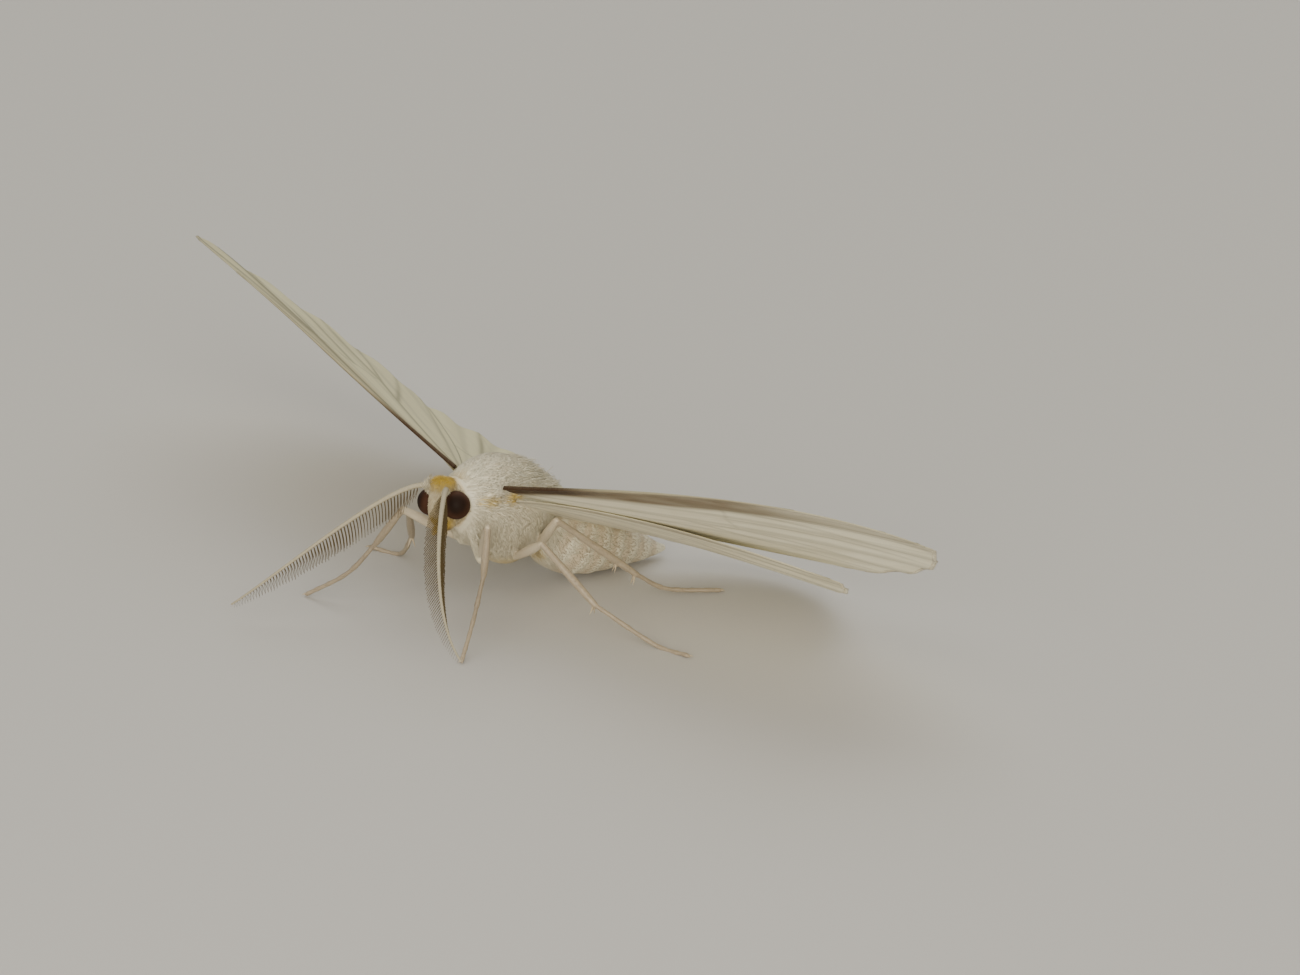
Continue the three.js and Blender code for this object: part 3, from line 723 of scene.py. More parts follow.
def coat(name, part_name, count, length, width, lift, seed, keep=None, hug=1.0, lie=None):
    """A coat over one part of the body, its sizes given as functions of the place."""
    spots, normals = sow(centre_part == part_name, count, seed)
    which, lie_here, along_here, angle_here = survey(spots)
    ok = which == part_name
    if keep is not None:
        ok &= keep(spots, along_here)
    spots, normals = spots[ok], normals[ok]
    lie_here, along_here, angle_here = lie_here[ok], along_here[ok], angle_here[ok]
    if lie is not None:
        lie_here = lie(spots, lie_here)
    chart = np.stack([0.02 + 0.96 * along_here, 0.02 + 0.96 * angle_here], 1)
    marks = markings(spots, which[ok], along_here)
    uneven = {"thorax": 0.16, "abdomen": 0.1, "head": 0.3}.get(part_name, 0.16)
    marks[:, 2] += np.random.default_rng(seed + 60).normal(0.03, uneven, len(spots))
    ones = np.ones(len(spots))
    return tufts(name, spots, lie_here, normals, length(spots, along_here) * ones,
                 width(spots, along_here) * ones, lift(spots, along_here) * ones, marks, chart,
                 seed=seed, hug=hug)


def lift_on_thorax(p, a):
    """Flat and sleek everywhere but on the waist, where it rises in a low crest."""
    crest = 0.16 * step(1.9, 2.7, p[:, 1]) * step(-1.4, 0.0, p[:, 2])
    return 0.08 + 0.01 * step(-0.2, 0.6, p[:, 2]) + crest


def on_crest(p, a):
    """The rear edge of the back, where the longest hairs grow."""
    return (p[:, 1] > 1.3) & (p[:, 2] > -0.7)


def on_plume(p, a):
    """A few long hairs on the middle of the back that stand away from it as it falls."""
    return (p[:, 1] > 1.5) & (p[:, 1] < 2.5) & (p[:, 2] > -0.5) & (np.abs(p[:, 0]) < 0.75)


def on_waist(p, a):
    """The rear slope of the chest, whose hairs lie back over the first rings of the belly."""
    return (p[:, 1] > 1.9) & (p[:, 2] > -2.1) & (p[:, 2] < -0.3)


coats = [
    coat("coat_thorax_a", "thorax", 9000, lambda p, a: 0.55 + 0.12 * step(0.8, 2.6, p[:, 1]),
         lambda p, a: 0.04, lift_on_thorax, 11),
    coat("coat_thorax_b", "thorax", 9500, lambda p, a: 0.4 + 0.1 * step(0.8, 2.6, p[:, 1]),
         lambda p, a: 0.026, lambda p, a: 1.15 * lift_on_thorax(p, a), 12),
    coat("coat_crest", "thorax", 9000, lambda p, a: 0.75 + 0.55 * step(1.4, 2.6, p[:, 1]),
         lambda p, a: 0.024, lambda p, a: 0.3, 17, keep=on_crest, hug=0.25),
    coat("coat_plume", "thorax", 2600, lambda p, a: 0.72, lambda p, a: 0.026, lambda p, a: 0.6, 20,
         keep=on_plume, hug=0.0),
    coat("coat_waist", "thorax", 12000, lambda p, a: 0.75 + 0.5 * step(-2.0, -0.9, p[:, 2]),
         lambda p, a: 0.026, lambda p, a: 0.08 + 0.3 * step(-2.0, -0.9, p[:, 2]), 18,
         keep=on_waist, hug=0.15),
    coat("coat_abdomen", "abdomen", 11000, lambda p, a: 0.27 - 0.1 * step(0.85, 1.0, a),
         lambda p, a: 0.04, lambda p, a: 0.07, 13),
    coat("coat_head", "head", 7000, lambda p, a: 0.18 + 0.1 * step(-0.2, 0.3, p[:, 2]),
         lambda p, a: 0.026, lambda p, a: 0.4, 14, hug=0.5),
    coat("coat_legs", "leg", 11500, lambda p, a: 0.13, lambda p, a: 0.036, lambda p, a: 0.12, 15,
         keep=lambda p, a: p[:, 2] > FLOOR + 0.05),
]

# %% [markdown]
# ### The white feet of the feelers
# Each feeler stands in a ring of longer white scales. They could be part of the head's coat with a
# longer reach there, but they don't lie the same way on both sides: flat over the socket on the
# left, and straight up on the right. So they are a coat of their own, sown on the same skin and
# with the same markings, and only their lie is new.

# %% Tufts round the feet of the antennae
def on_scape(p, a):
    """The white scales at the foot of each antenna."""
    feet = [on_head(SCAPE_FOOT[0] * side, *SCAPE_FOOT[1:]) for side in (1, -1)]
    return np.min([np.linalg.norm(p - foot, axis=1) for foot in feet], 0) < 0.24


def scape_lie(p, lie):
    """Down over the socket on the left foot, and straight up on the right one."""
    return np.where(p[:, :1] > 0, lie, np.array([-0.3, 0.0, 1.0]))


coats.append(coat("coat_scapes", "head", 9000, lambda p, a: np.where(p[:, 0] > 0, 0.18, 0.34),
                  lambda p, a: 0.03, lambda p, a: np.where(p[:, 0] > 0, 0.4, 0.9), 19,
                  keep=on_scape, hug=0.0, lie=scape_lie))
print(len(coats), "coats lie on the skin")

# %% [markdown]
# ## The wings
# A wing is a sheet stretched over stiff veins. It could be a subdivided plane pulled to shape, but
# its outline, arch and pleats all follow rules, so it is computed on a grid that runs out along
# the wing and back across it. Veins are raised a little on both faces and each point remembers how
# near to a vein it lies, so relief and colour agree. The same numbers carry painted shade: darker
# lines along the long veins and the forewing's inner edge, and greyer troughs between the pleats.

# %% Wing measures and margins
FOREWING = {
    "length": 19.66, "hinge": {1: (1.37, -.12, .06), -1: (1.37, -.12, .06)},
    "sweep": {1: 12.5, -1: 13.8}, "rise": {1: 6.5, -1: 5.1}, "pitch": {1: 36.2, -1: 39.6},
    "arch": {1: .31, -1: .22}, "arch_peak": 1.4, "sag": {1: 0.0, -1: 0.0}, "nose": {1: 0.0, -1: 0.0},
    "pleat": .05,
    "costa": [(0, 0), (.44, -.13), (1.015, -.165), (1, 0)],
    "outer": [(1, 0), (.93, .12), (.86, .25), (.635, .324)],
    "inner": [(.635, .324), (.406, .267), (.195, .168), (0, .026)],
}
HINDWING = {
    "length": 12.7, "hinge": {1: (1.48, .47, -.46), -1: (1.48, .47, -.51)},
    "sweep": {1: 31.3, -1: 26.5}, "rise": {1: -8.1, -1: -3.9}, "pitch": {1: 23.7, -1: 29.8},
    "arch": {1: .34, -1: .12}, "arch_peak": 0.8, "sag": {1: .62, -1: .5}, "nose": {1: .14, -1: .2},
    "pleat": .045,
    "costa": [(0, 0), (.3, -.056), (.75, -.056), (1, 0)],
    "outer": [(1, 0), (1.03, .28), (.80, .76), (.19, .42)],
    "inner": [(.19, .42), (.12, .32), (.04, .2), (0, .06)],
}
MARGIN_STEPS = 160


def margins(wing):
    """The wing's front edge and its whole rear edge, as places out and back in millimetres."""
    costa, outer, inner = [bezier(wing[edge], MARGIN_STEPS) for edge in ("costa", "outer", "inner")]
    rear = np.concatenate([inner[::-1], outer[::-1][1:]])
    return costa * wing["length"], rear * wing["length"]


def on_margin(wing, which, t):
    a, b, c, d = [np.array(p, float) for p in wing[which]]
    return (1 - t) ** 3 * a + 3 * (1 - t) ** 2 * t * b + 3 * (1 - t) * t * t * c + t ** 3 * d


def forewing_veins(w):
    """Start, bend and end of each vein, in wing lengths: the cell's two stems, then their forks."""
    top, low = (.52, -.03), (.47, .115)
    ends = [on_margin(w, "outer", t) for t in (.04, .22, .4, .58, .76, .92)]
    mid = ((top[0] + low[0]) / 2 - .012, (top[1] + low[1]) / 2)
    return [
        ((0, .004), (.3, -.075), on_margin(w, "costa", .56)), ((0, .008), (.25, -.055), top),
        ((0, .014), (.25, .05), low), (top, (.5, .03), mid), (mid, (.48, .08), low),
        (top, (.66, -.085), on_margin(w, "costa", .78)), (top, (.72, -.06), on_margin(w, "costa", .9)),
        (top, (.76, -.03), ends[0]), (top, (.74, .02), ends[1]), (mid, (.7, .075), ends[2]),
        (low, (.66, .13), ends[3]), (low, (.6, .17), ends[4]), ((.36, .085), (.5, .19), ends[5]),
        ((0, .02), (.28, .165), on_margin(w, "inner", .06)),
    ]


def hindwing_veins(w):
    top, low = (.5, .06), (.42, .2)
    ends = [on_margin(w, "outer", t) for t in (.03, .2, .38, .55, .7, .86)]
    return [
        ((0, .01), (.45, -.02), on_margin(w, "costa", .95)), ((0, .015), (.25, .03), top),
        ((0, .025), (.22, .1), low), (top, (.48, .13), low), (top, (.75, .06), ends[0]),
        (top, (.72, .17), ends[1]), (low, (.66, .29), ends[2]), (low, (.56, .36), ends[3]),
        ((.3, .14), (.42, .33), ends[4]), ((0, .035), (.2, .27), ends[5]),
        ((0, .05), (.12, .24), w["inner"][0]),
    ]


# %% The wing's surface
PLEAT_COUNT = 62.0


def fan_angle(wing, p, q):
    """The angle at which a place lies in the fan of pleats, whose hub is inside the hinge."""
    return np.arctan2(q + 0.03 * wing["length"], p + 0.2 * wing["length"])


def wing_axes(wing, side):
    sweep, rise, pitch = [math.radians(wing[name][side]) for name in ("sweep", "rise", "pitch")]
    out = np.array([math.cos(rise) * math.cos(sweep), math.cos(rise) * math.sin(sweep), math.sin(rise)])
    level = np.array([-math.sin(sweep), math.cos(sweep), 0.0])
    back = math.cos(pitch) * level - math.sin(pitch) * np.cross(out, level)
    return out, back, np.cross(out, back)


def vein_nearness(wing, veins, p, q, wide):
    """1 on a vein and 0 away from it."""
    nearness = np.zeros(p.shape)
    here = np.stack([p, q], -1)
    for a, b, c in veins:
        a, b, c = [np.array(v) * wing["length"] for v in (a, b, c)]
        t = np.linspace(0, 1, 25)[:, None]
        line = (1 - t) ** 2 * a + 2 * (1 - t) * t * b + t * t * c
        closest = np.full(p.shape, 1e9)
        for start, end in zip(line, line[1:]):
            run = end - start
            share = np.clip(((here - start) @ run) / (run @ run), 0, 1)
            closest = np.minimum(closest, np.linalg.norm(here - start - share[..., None] * run, axis=-1))
        nearness = np.maximum(nearness, np.exp(-(closest / wide) ** 2))
    return nearness


def wing_surface(wing, side, p, q):
    """The middle of the membrane, in millimetres from home."""
    u, v = p / wing["length"], q / wing["length"]
    bow = wing["arch"][side] * np.sin(math.pi * np.clip(u, 0, 1) ** wing["arch_peak"])
    nose = wing["nose"][side] * np.clip(1 - v / 0.25, 0, 1.3) ** 2
    bow = bow - wing["sag"][side] * 8.2 * v * (0.7 - v) - nose
    costa, trailing = margins(wing)
    front, rear = np.interp(p, costa[:, 0], costa[:, 1]), np.interp(p, trailing[:, 0], trailing[:, 1])
    share = (q - front) / np.maximum(rear - front, 0.3)
    calm = step(0.0, 0.3, share) * np.maximum(step(0.0, 0.35, 1 - share), 1.3 * step(0.6, 0.7, u))
    wave = np.sin(fan_angle(wing, p, q) * PLEAT_COUNT)
    bow = bow + wing["pleat"] * calm * wave * step(0.25, 1.0, np.hypot(u, v))
    out, back, up = wing_axes(wing, side)
    points = np.array(wing["hinge"][side]) + p[..., None] * out + q[..., None] * back + bow[..., None] * up
    points[..., 0] *= side
    normal = up.copy()
    normal[0] *= side
    return points, normal


def wing_piece(name, wing, veins, side, rows=230, columns=72):
    length = wing["length"]
    costa, trailing = margins(wing)
    s = np.linspace(0, 1, rows)
    p = length * 0.994 * (0.35 * s + 0.65 * np.sin(math.pi / 2 * s))
    front, rear = np.interp(p, costa[:, 0], costa[:, 1]), np.interp(p, trailing[:, 0], trailing[:, 1])
    t = np.linspace(0, 1, columns)
    chord = rear - front
    scallop = (0.13 * np.abs(np.sin(p * 2.3)) - 0.16) * step(0.6, 0.72, p / length) * step(0.3, 1.6, chord)
    p, q = np.repeat(p[:, None], columns, 1), front[:, None] + (rear + scallop - front)[:, None] * t
    vein = vein_nearness(wing, veins, p, q, 0.095 - 0.045 * p / length)
    # Painted shade: wide darker lines along the long veins stand in for the shade of the folds beside them,
    # and a darker line along the forewing's inner edge for the shade there. The narrow line of each vein is
    # the vein's own colour.
    lengthwise = [v for v in veins if v[2][0] - v[0][0] > 0.1]
    veins_and_shade = 0.8 * vein_nearness(wing, lengthwise, p, q, 0.12) * (1 - 0.7 * step(0.6, 0.95, t))[None]
    veins_and_shade = np.maximum(veins_and_shade, 0.6 * vein)
    front_line = (1 - step(0.06, 0.16, q - front[:, None])) * (1.0 if wing is FOREWING else 0.3)
    if wing is FOREWING:
        inner_edge_shade = (1 - step(0.04, 0.14, rear[:, None] - q)) * (1 - step(0.5, 0.6, p / length))
        veins_and_shade = np.maximum(veins_and_shade, 0.8 * inner_edge_shade)
    # Painted shade: the troughs between the pleats are made greyer, standing in for the shade that lies in
    # the folds.
    wave = np.sin(fan_angle(wing, p, q) * PLEAT_COUNT + math.pi)
    trough_shade = step(0.35, 1.0, wave) * step(0.1, 0.35, p / length)
    middle, normal = wing_surface(wing, side, p, q)
    edge = np.minimum(t, 1 - t)[None]
    rib = (0.05 - 0.036 * step(0.2, 0.45, s[:, None])) if wing is FOREWING else 0.008
    costal_rib = rib * np.exp(-((q - front[:, None]) / 0.16) ** 2)
    half = 0.009 + 0.01 * step(0, 0.05, edge) + 0.016 * vein + costal_rib
    upper = middle + normal * half[..., None]
    lower = middle - normal * half[..., None]
    points = np.concatenate([upper.reshape(-1, 3), lower.reshape(-1, 3)]) + HOME
    count = rows * columns
    faces = []
    for r in range(rows - 1):
        for c in range(columns - 1):
            a, b = r * columns + c, (r + 1) * columns + c
            faces.append((a, b, b + 1, a + 1))
            faces.append((count + a, count + a + 1, count + b + 1, count + b))
    rim = [r * columns for r in range(rows)] + [(rows - 1) * columns + c for c in range(1, columns)]
    rim += [r * columns + columns - 1 for r in range(rows - 2, -1, -1)] + list(range(columns - 2, 0, -1))
    faces += [(b, a, count + a, count + b) for a, b in zip(rim, rim[1:] + rim[:1])]
    if side < 0:
        faces = [f[::-1] for f in faces]
    mesh = make_mesh(name, points, faces)
    smooth(mesh)
    spread = np.stack([p, q, np.zeros_like(p)], -1).reshape(-1, 3)
    put(mesh, "spread", np.concatenate([spread, spread]), "FLOAT_VECTOR")
    # Painted shade on the upper face: a wide darker band along the main stems, where the wing folds. The vein
    # number carries the veins' own colour together with this painted shade.
    stem_shade = vein_nearness(wing, [veins[1], veins[7]] if wing is FOREWING else [veins[1]], p, q, 0.17)
    put(mesh, "vein", np.concatenate([np.maximum(np.maximum(veins_and_shade, stem_shade), 0.3 * front_line).ravel(),
                                      np.maximum(veins_and_shade, front_line).ravel()]))
    # The pleat number carries the painted shade of the pleat troughs.
    put(mesh, "pleat", np.concatenate([trough_shade.ravel()] * 2))
    put(mesh, "under", np.repeat([0.0, 1.0], count))
    u = p / length
    inward = q - front[:, None]
    wide = 1.0 if wing is FOREWING else 0.35
    band = wide * (0.5 + 0.85 * step(0.1, 0.45, u))
    tan = (1 - step(band, band + 0.65 * wide, inward)) * (0.95 - 0.6 * step(0.5, 0.85, u))
    tan = tan * (1.0 if wing is FOREWING else 0.5)
    streak = (1 - step(0.45, 0.85, inward)) * (1 - step(0.13, 0.32, u)) * (wing is FOREWING)
    flecks = (1 - step(0.05, 0.26, u)) * (1 - step(2.4, 4.0, inward)) * (wing is FOREWING)
    above, below = [np.stack([tan * t, streak * k, flecks * f], -1).reshape(-1, 3)
                    for t, k, f in ((0.6, 0.9 * (inward < 0.08), 1.0), (1.0, 1.0, 0.0))]
    put(mesh, "tints", np.concatenate([above, below]), "FLOAT_VECTOR")
    mesh.materials.append(membrane_finish)
    obj = link(mesh, "membrane_" + name)
    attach(obj, "root")
    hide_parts(name)
    print(f"{obj.name}: {len(mesh.polygons) * 2} triangles")
    return obj


for side, word in ((1, "left"), (-1, "right")):
    wing_piece(f"forewing_{word}", FOREWING, forewing_veins(FOREWING), side)
    wing_piece(f"hindwing_{word}", HINDWING, hindwing_veins(HINDWING), side, 150, 76)

# %% [markdown]
# ## The fringe
# Along its outer and inner margins each wing ends in a fringe of long narrow scales. They are the
# same spindles as the body's coat, laid in two rows outwards from the edge.

# %% Fringe scales
def fringe(name, wing, side, parts, length, seed):
    rng = np.random.default_rng(seed)
    roots, ways, normals, places = [], [], [], []
    for number, (which, low, high, count) in enumerate(parts):
        t = np.sort(rng.uniform(low, high, count))
        edge = np.array([on_margin(wing, which, v) for v in t]) * wing["length"]
        ahead = np.array([on_margin(wing, which, min(v + 0.01, 1.0)) for v in t]) * wing["length"]
        behind = np.array([on_margin(wing, which, max(v - 0.01, 0.0)) for v in t]) * wing["length"]
        run = unit(ahead - behind)
        outward = np.stack([run[:, 1], -run[:, 0]], 1)
        inset = edge - outward * 0.16
        here, normal = wing_surface(wing, side, inset[:, 0], inset[:, 1])
        there, _ = wing_surface(wing, side, (inset + outward * 0.2)[:, 0], (inset + outward * 0.2)[:, 1])
        roots.append(here)
        ways.append(unit(there - here))
        normals.append(np.tile(normal, (count, 1)))
        places.append(np.stack([0.02 + 0.96 * t, np.full(count, 0.1 + 0.3 * number)], 1))
    roots, ways, normals, chart = [np.concatenate(v) for v in (roots, ways, normals, places)]
    n = len(roots)
    marks = np.tile([0.0, 0.0, 0.25], (n, 1))
    return tufts(name, roots, ways, normals, length * np.ones(n), 0.05 * np.ones(n),
                 rng.uniform(-0.06, 0.06, n), marks, chart, seed=seed)


for side, word in ((1, "left"), (-1, "right")):
    fringe(f"fringe_forewing_{word}", FOREWING, side,
           [("outer", 0.0, 1.0, 1500), ("inner", 0.0, 0.9, 900)], 0.17, 31 + side)
    fringe(f"fringe_hindwing_{word}", HINDWING, side,
           [("outer", 0.0, 1.0, 1500), ("inner", 0.0, 0.9, 300)], 0.17, 41 + side)

# %% [markdown]
# ## The eyes
# A moth's eye is a dome of thousands of tiny lenses. At this size they show only as a faint grain
# under the gloss, so the dome is a fine sphere with a cell pattern in its bump.

# %% Eyes
def eye_finish():
    paint = Paint("compound_eye")
    place = paint.place()
    cells = paint.node("ShaderNodeTexVoronoi", {"feature": "F1"}, {"Vector": place, "Scale": 26000.0})
    cloud = paint.noise(place, 2600.0, 2.0)
    # Painted shade: the eye is darkest round a painted pseudopupil and lighter brown towards the rim, as a
    # compound eye looks from one side only.
    rim = (paint.attribute("rim") + (cloud - 0.5) * 0.3).clamp()
    base = paint.mix(rim, (0.017, 0.0085, 0.005), (0.058, 0.024, 0.0125))
    return paint.finish(base, 0.5 + cloud * 0.15, 1.0 - cells, 0.000006, Specular_IOR_Level=0.1)


lens = eye_finish()
for side, word in ((1, "left"), (-1, "right")):
    low, high = [np.array(c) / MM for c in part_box(f"eye_{word}")]
    centre = on_head(.62 * side, .02, .08)
    points, faces = ball(centre, (.53, .53, .53), HEAD_TURN, 56)
    mesh = make_mesh(f"eye_dome_{word}", points + HOME, faces)
    smooth(mesh)
    # Painted shade: the pseudopupil, the dark spot where an eye's lenses face the viewer, is fixed on this
    # axis, which faces the camera for the near eye.
    pseudopupil_axis = unit(np.array([0.7 * side, -0.6, 0.3])) @ HEAD_TURN.T
    put(mesh, "rim", step(0.05, 0.55, 1 - unit(points - centre) @ pseudopupil_axis))
    mesh.materials.append(lens)
    eye = link(mesh, f"eye_dome_{word}")
    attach(eye, "root")
    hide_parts(f"eye_{word}")
    print(word, "eye is off its solid's middle by, mm:", ((low + high) / 2 - centre - HOME).round(2))

# %% [markdown]
# ## The antennae
# A male's antenna is a comb: a pale stalk with two rows of fine teeth. The teeth repeat along a
# path and shrink towards the tip, which is just what Geometry Nodes does well: points along a
# curve, a tooth on each, and a scale that follows its place.

# %% The comb as a node tree
def tooth_mesh():
    """One slender tooth along +Z, one unit long, bowed a little towards +X, in a few faces."""
    t = np.linspace(0, 1, 6)
    spine = np.stack([0.12 * t * t, 0 * t, t], 1)
    points, faces = tube(spine, 0.026 * (1.05 - 0.6 * t), 5)
    mesh = make_mesh("comb_tooth", points, faces, 1.0)
    smooth(mesh)
    return link(mesh, "comb_tooth")


def comb_tree():
    tree = bpy.data.node_groups.new("comb_of_teeth", "GeometryNodeTree")
    face = tree.interface
    face.new_socket("Geometry", in_out="INPUT", socket_type="NodeSocketGeometry")
    face.new_socket("Tooth", in_out="INPUT", socket_type="NodeSocketObject")
    face.new_socket("Finish", in_out="INPUT", socket_type="NodeSocketMaterial")
    face.new_socket("Seed", in_out="INPUT", socket_type="NodeSocketInt")
    face.new_socket("Geometry", in_out="OUTPUT", socket_type="NodeSocketGeometry")
    nodes, links = tree.nodes, tree.links

    def node(kind, inputs=None, **settings):
        made = nodes.new(kind)
        for key, value in settings.items():
            setattr(made, key, value)
        for key, value in (inputs or {}).items():
            if isinstance(value, bpy.types.NodeSocket):
                links.new(value, made.inputs[key])
            else:
                made.inputs[key].default_value = value
        return made

    start, end = nodes.new("NodeGroupInput"), nodes.new("NodeGroupOutput")
    tooth = node("GeometryNodeObjectInfo", {"Object": start.outputs["Tooth"]})
    turn = node("GeometryNodeInputNamedAttribute", {"Name": "turn"}, data_type="FLOAT_VECTOR")
    size = node("GeometryNodeInputNamedAttribute", {"Name": "size"}, data_type="FLOAT")
    jitter = node("FunctionNodeRandomValue", {2: 0.94, 3: 1.05, "Seed": start.outputs["Seed"]},
                  data_type="FLOAT")
    scale = node("ShaderNodeMath", {0: size.outputs["Attribute"], 1: jitter.outputs[1]},
                 operation="MULTIPLY")
    placed = node("GeometryNodeInstanceOnPoints", {
        "Points": start.outputs["Geometry"], "Instance": tooth.outputs["Geometry"],
        "Rotation": turn.outputs["Attribute"], "Scale": scale.outputs[0]})
    solid = node("GeometryNodeRealizeInstances", {"Geometry": placed.outputs[0]})
    painted = node("GeometryNodeSetMaterial", {
        "Geometry": solid.outputs[0], "Material": start.outputs["Finish"]})
    links.new(painted.outputs[0], end.inputs[0])
    return tree


def antenna_finishes():
    stalk = Paint("antenna_stalk")
    grain = stalk.noise(stalk.place(), 9000.0)
    pale = stalk.mix(grain * 0.7, (0.46, 0.41, 0.29), (0.30, 0.25, 0.15))
    comb = Paint("antenna_comb")
    fleck = comb.noise(comb.place(), 5000.0)
    olive = comb.mix(fleck, (0.12, 0.085, 0.035), (0.075, 0.05, 0.02))
    return (stalk.finish(pale, 0.6, grain, 0.00001, Specular_IOR_Level=0.3),
            comb.finish(olive, 0.65, fleck, 0.000006, Specular_IOR_Level=0.15))


# %% Both antennae
stalk_finish, comb_finish = antenna_finishes()
comb_nodes, tooth = comb_tree(), tooth_mesh()
sockets = {s.name: s.identifier for s in comb_nodes.interface.items_tree if s.in_out == "INPUT"}
ANTENNA_TURN = turned(5.8, 4.4)
ROUTE = [(.42, -.22, .75), (1.14, -1.01, 1.36), (3.57, -4.95, -1.7), (5.91, -5.57, -3.3)]
for side, word in ((1, "left"), (-1, "right")):
    route = np.array(ROUTE) * [side, 1, 1] @ ANTENNA_TURN.T + HEAD_CENTRE
    path = resample(bezier(route, 60), 120)
    u = np.linspace(0, 1, 120)
    segments = 1 + 0.1 * np.cos(u * 70 * 2 * math.pi)
    radius = (0.105 - 0.07 * u) * segments
    points, faces = tube(path, radius, 10)
    mesh = make_mesh(f"stalk_{word}", points + HOME, faces)
    smooth(mesh)
    mesh.materials.append(stalk_finish)
    stalk = link(mesh, f"stalk_{word}")

    teeth = 62
    places = np.linspace(0.05, 0.985, teeth)
    spots = np.stack([np.interp(places, u, path[:, k]) for k in range(3)], 1)
    tangent = unit(np.stack([np.interp(places, u, np.gradient(path[:, k])) for k in range(3)], 1))
    droop = unit(np.array([-0.38 * side, 0.12, -0.72]))
    down = unit(droop - tangent * (tangent @ droop)[:, None])
    across = np.cross(tangent, down)
    widening = np.sin(math.pi / 2 * np.clip(places / 0.16, 0, 1))
    size = 0.16 + 0.78 * widening * (1 - 0.95 * np.clip((places - 0.4) / 0.6, 0, 1) ** 1.3)
    roots, turns, sizes = [], [], []
    for row in (-1, 1):
        spread = math.radians(27)
        way = unit(down * math.cos(spread) + across * row * math.sin(spread) + tangent * 0.28)
        bow = unit(tangent - way * np.sum(tangent * way, 1)[:, None])
        for spot, z, x, s in zip(spots, way, bow, size):
            y = np.cross(z, x)
            basis = np.stack([x, y, z], 1)
            turns.append(tuple(Matrix(basis.tolist()).to_euler()))
            roots.append(spot)
            sizes.append(s)
    cloud = bpy.data.meshes.new("tooth_roots")
    cloud.from_pydata(((np.array(roots) + HOME)).tolist(), [], [])
    put(cloud, "turn", turns, "FLOAT_VECTOR")
    put(cloud, "size", sizes)
    roots_object = link(cloud, "tooth_roots")
    modifier = roots_object.modifiers.new("comb", "NODES")
    modifier.node_group = comb_nodes
    modifier[sockets["Tooth"]] = tooth
    modifier[sockets["Finish"]] = comb_finish
    modifier[sockets["Seed"]] = 5 + side
    graph = bpy.context.evaluated_depsgraph_get()
    comb_mesh = bpy.data.meshes.new_from_object(roots_object.evaluated_get(graph))
    comb_mesh.name = f"comb_{word}"
    comb_mesh.vertices.foreach_set("co", (array_of(comb_mesh) * MM).astype(np.float32).ravel())
    comb_mesh.update()
    smooth(comb_mesh)
    bpy.data.objects.remove(roots_object)
    comb = link(comb_mesh, f"comb_{word}")
    for piece in (stalk, comb):
        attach(piece, "root")
    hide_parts(f"antenna_{word}")
    print(f"{word} antenna: {2 * teeth} teeth, {len(comb_mesh.polygons)} faces")
bpy.data.objects.remove(tooth)

# %% [markdown]
# ## Spurs and claws
# The shins of the middle and hind legs carry pairs of movable spurs, and each foot ends in two
# small claws. They are hard and darker at the point, so they stay separate from the skin.

# %% Spurs and claws
def horn_finish():
    paint = Paint("spur_horn")
    grain = paint.noise(paint.place(), 6000.0)
    return paint.finish(paint.mix(grain, (0.62, 0.53, 0.37), (0.40, 0.30, 0.17)), 0.45, grain, 0.000005)


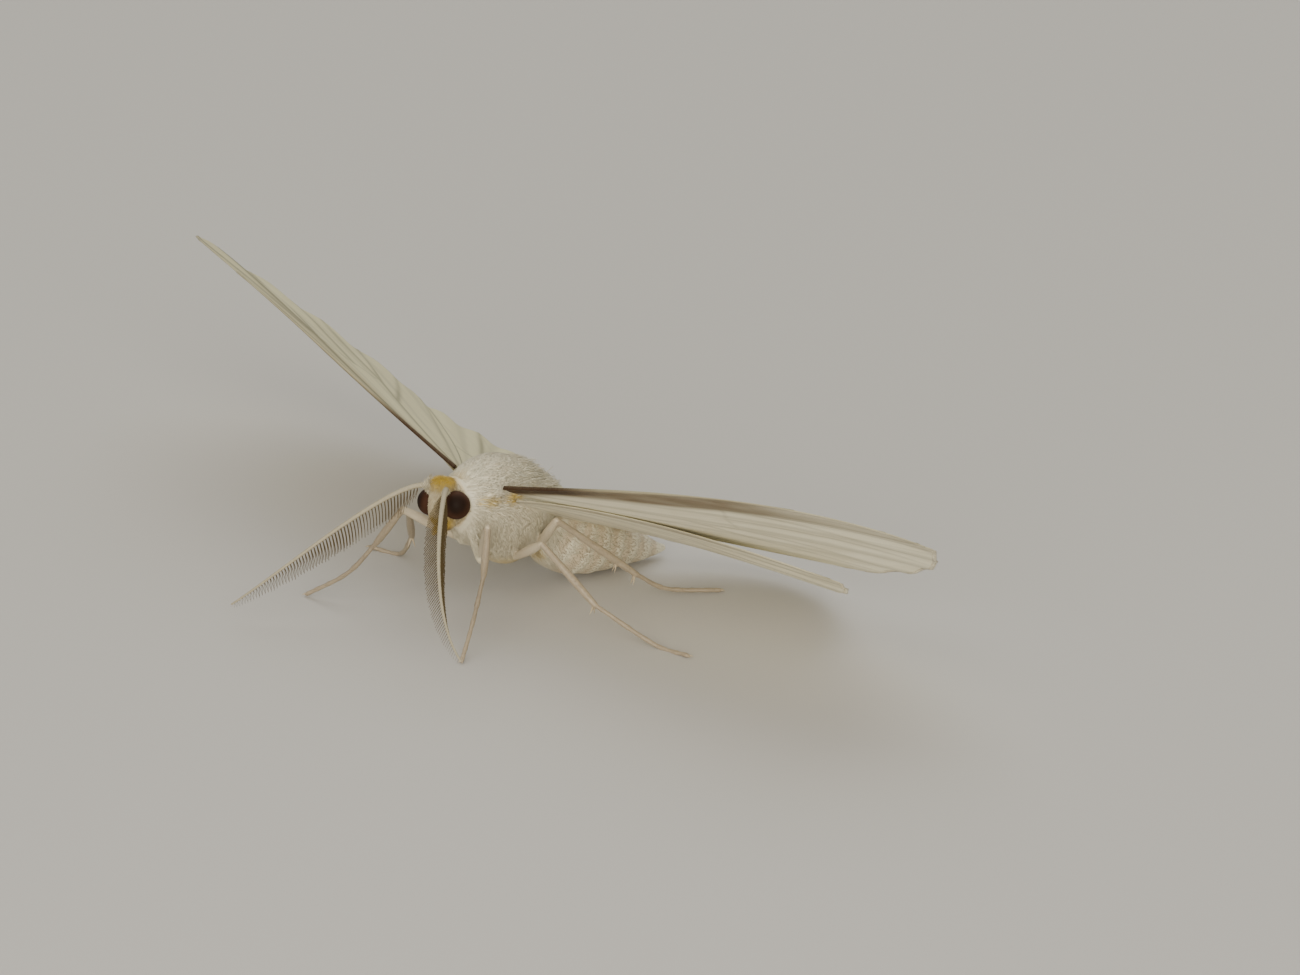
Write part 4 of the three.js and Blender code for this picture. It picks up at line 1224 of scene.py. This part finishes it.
points, faces = [], []
for name, joints in LEGS.items():
    hip, knee, ankle, *foot = [np.array(j, float) for j in joints]
    down_leg = unit(ankle - knee)
    droop = unit(np.array([0, 0, -1.0]) + down_leg * down_leg[2])
    aside = np.cross(down_leg, droop)
    spikes = []
    for share in {"fore": [], "mid": [0.97], "hind": [0.74, 0.97]}[name.split("_")[0]]:
        for row in (-1, 1):
            root = knee + (ankle - knee) * share
            tip = root + (down_leg * 0.5 + droop + aside * row * 0.35) * (0.4 if row < 0 else 0.46)
            spikes.append((root, (root + tip) / 2 + down_leg * 0.02, tip, 0.055))
    toe, before = foot[-1], foot[-2]
    ahead = unit((toe - before) * [1, 1, 0])
    for row in (-1, 1):
        side_way = np.cross(ahead, [0, 0, 1.0]) * row
        tip = toe + ahead * 0.16 + side_way * 0.09 - np.array([0, 0, 0.045])
        spikes.append((toe, toe + ahead * 0.11 + side_way * 0.06 + [0, 0, 0.01], tip, 0.03))
    for root, bend, tip, thick in spikes:
        spine = resample([root, bend, tip], 8)
        spike_points, spike_faces = tube(spine, thick * (1.05 - np.linspace(0, 1, 8) ** 1.3), 7)
        start = sum(len(p) for p in points)
        points.append(spike_points + HOME)
        faces += [tuple(i + start for i in face) for face in spike_faces]
mesh = make_mesh("spurs_and_claws", np.concatenate(points), faces)
smooth(mesh)
mesh.materials.append(horn_finish())
spurs = link(mesh, "spurs_and_claws")
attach(spurs, "root")
print("spurs and claws:", len(mesh.polygons), "faces")

# %% [markdown]
# ## Floor and studio light
# A plain pale floor with a broad key beside the camera, a low fill on the moth's left that reaches
# under the raised wing, and a soft top light behind it for the far wing. All are large and far, so
# that the wings throw no hard shadow.

# %% Floor, lights and world
floor_paint = Paint("studio_floor")
bpy.ops.mesh.primitive_plane_add(size=1.6, location=(0, 0, 0))
floor = bpy.context.object
floor.name = "floor"
floor.data.materials.append(floor_paint.finish((0.56, 0.54, 0.50), 0.85))


def area_light(name, where, size, power, colour):
    data = bpy.data.lights.new(name, "AREA")
    data.size, data.energy, data.color = size, power, colour
    lamp = bpy.data.objects.new(name, data)
    lamp.location = Vector(where) * MM
    lamp.rotation_euler = Vector(where).to_track_quat("Z", "Y").to_euler()
    bpy.context.scene.collection.objects.link(lamp)


area_light("key", (120, -180, 130), 0.26, 0.41, (1.0, 0.955, 0.875))
area_light("low_fill", (150, -150, 30), 0.22, 0.41, (1.0, 0.955, 0.875))
area_light("top", (-70, 90, 190), 0.26, 0.24, (0.99, 1.0, 0.98))
world = bpy.data.worlds.new("studio")
world.use_nodes = True
world.node_tree.nodes["Background"].inputs[0].default_value = (0.92, 0.9, 0.84, 1)
world.node_tree.nodes["Background"].inputs[1].default_value = 0.44
bpy.context.scene.world = world
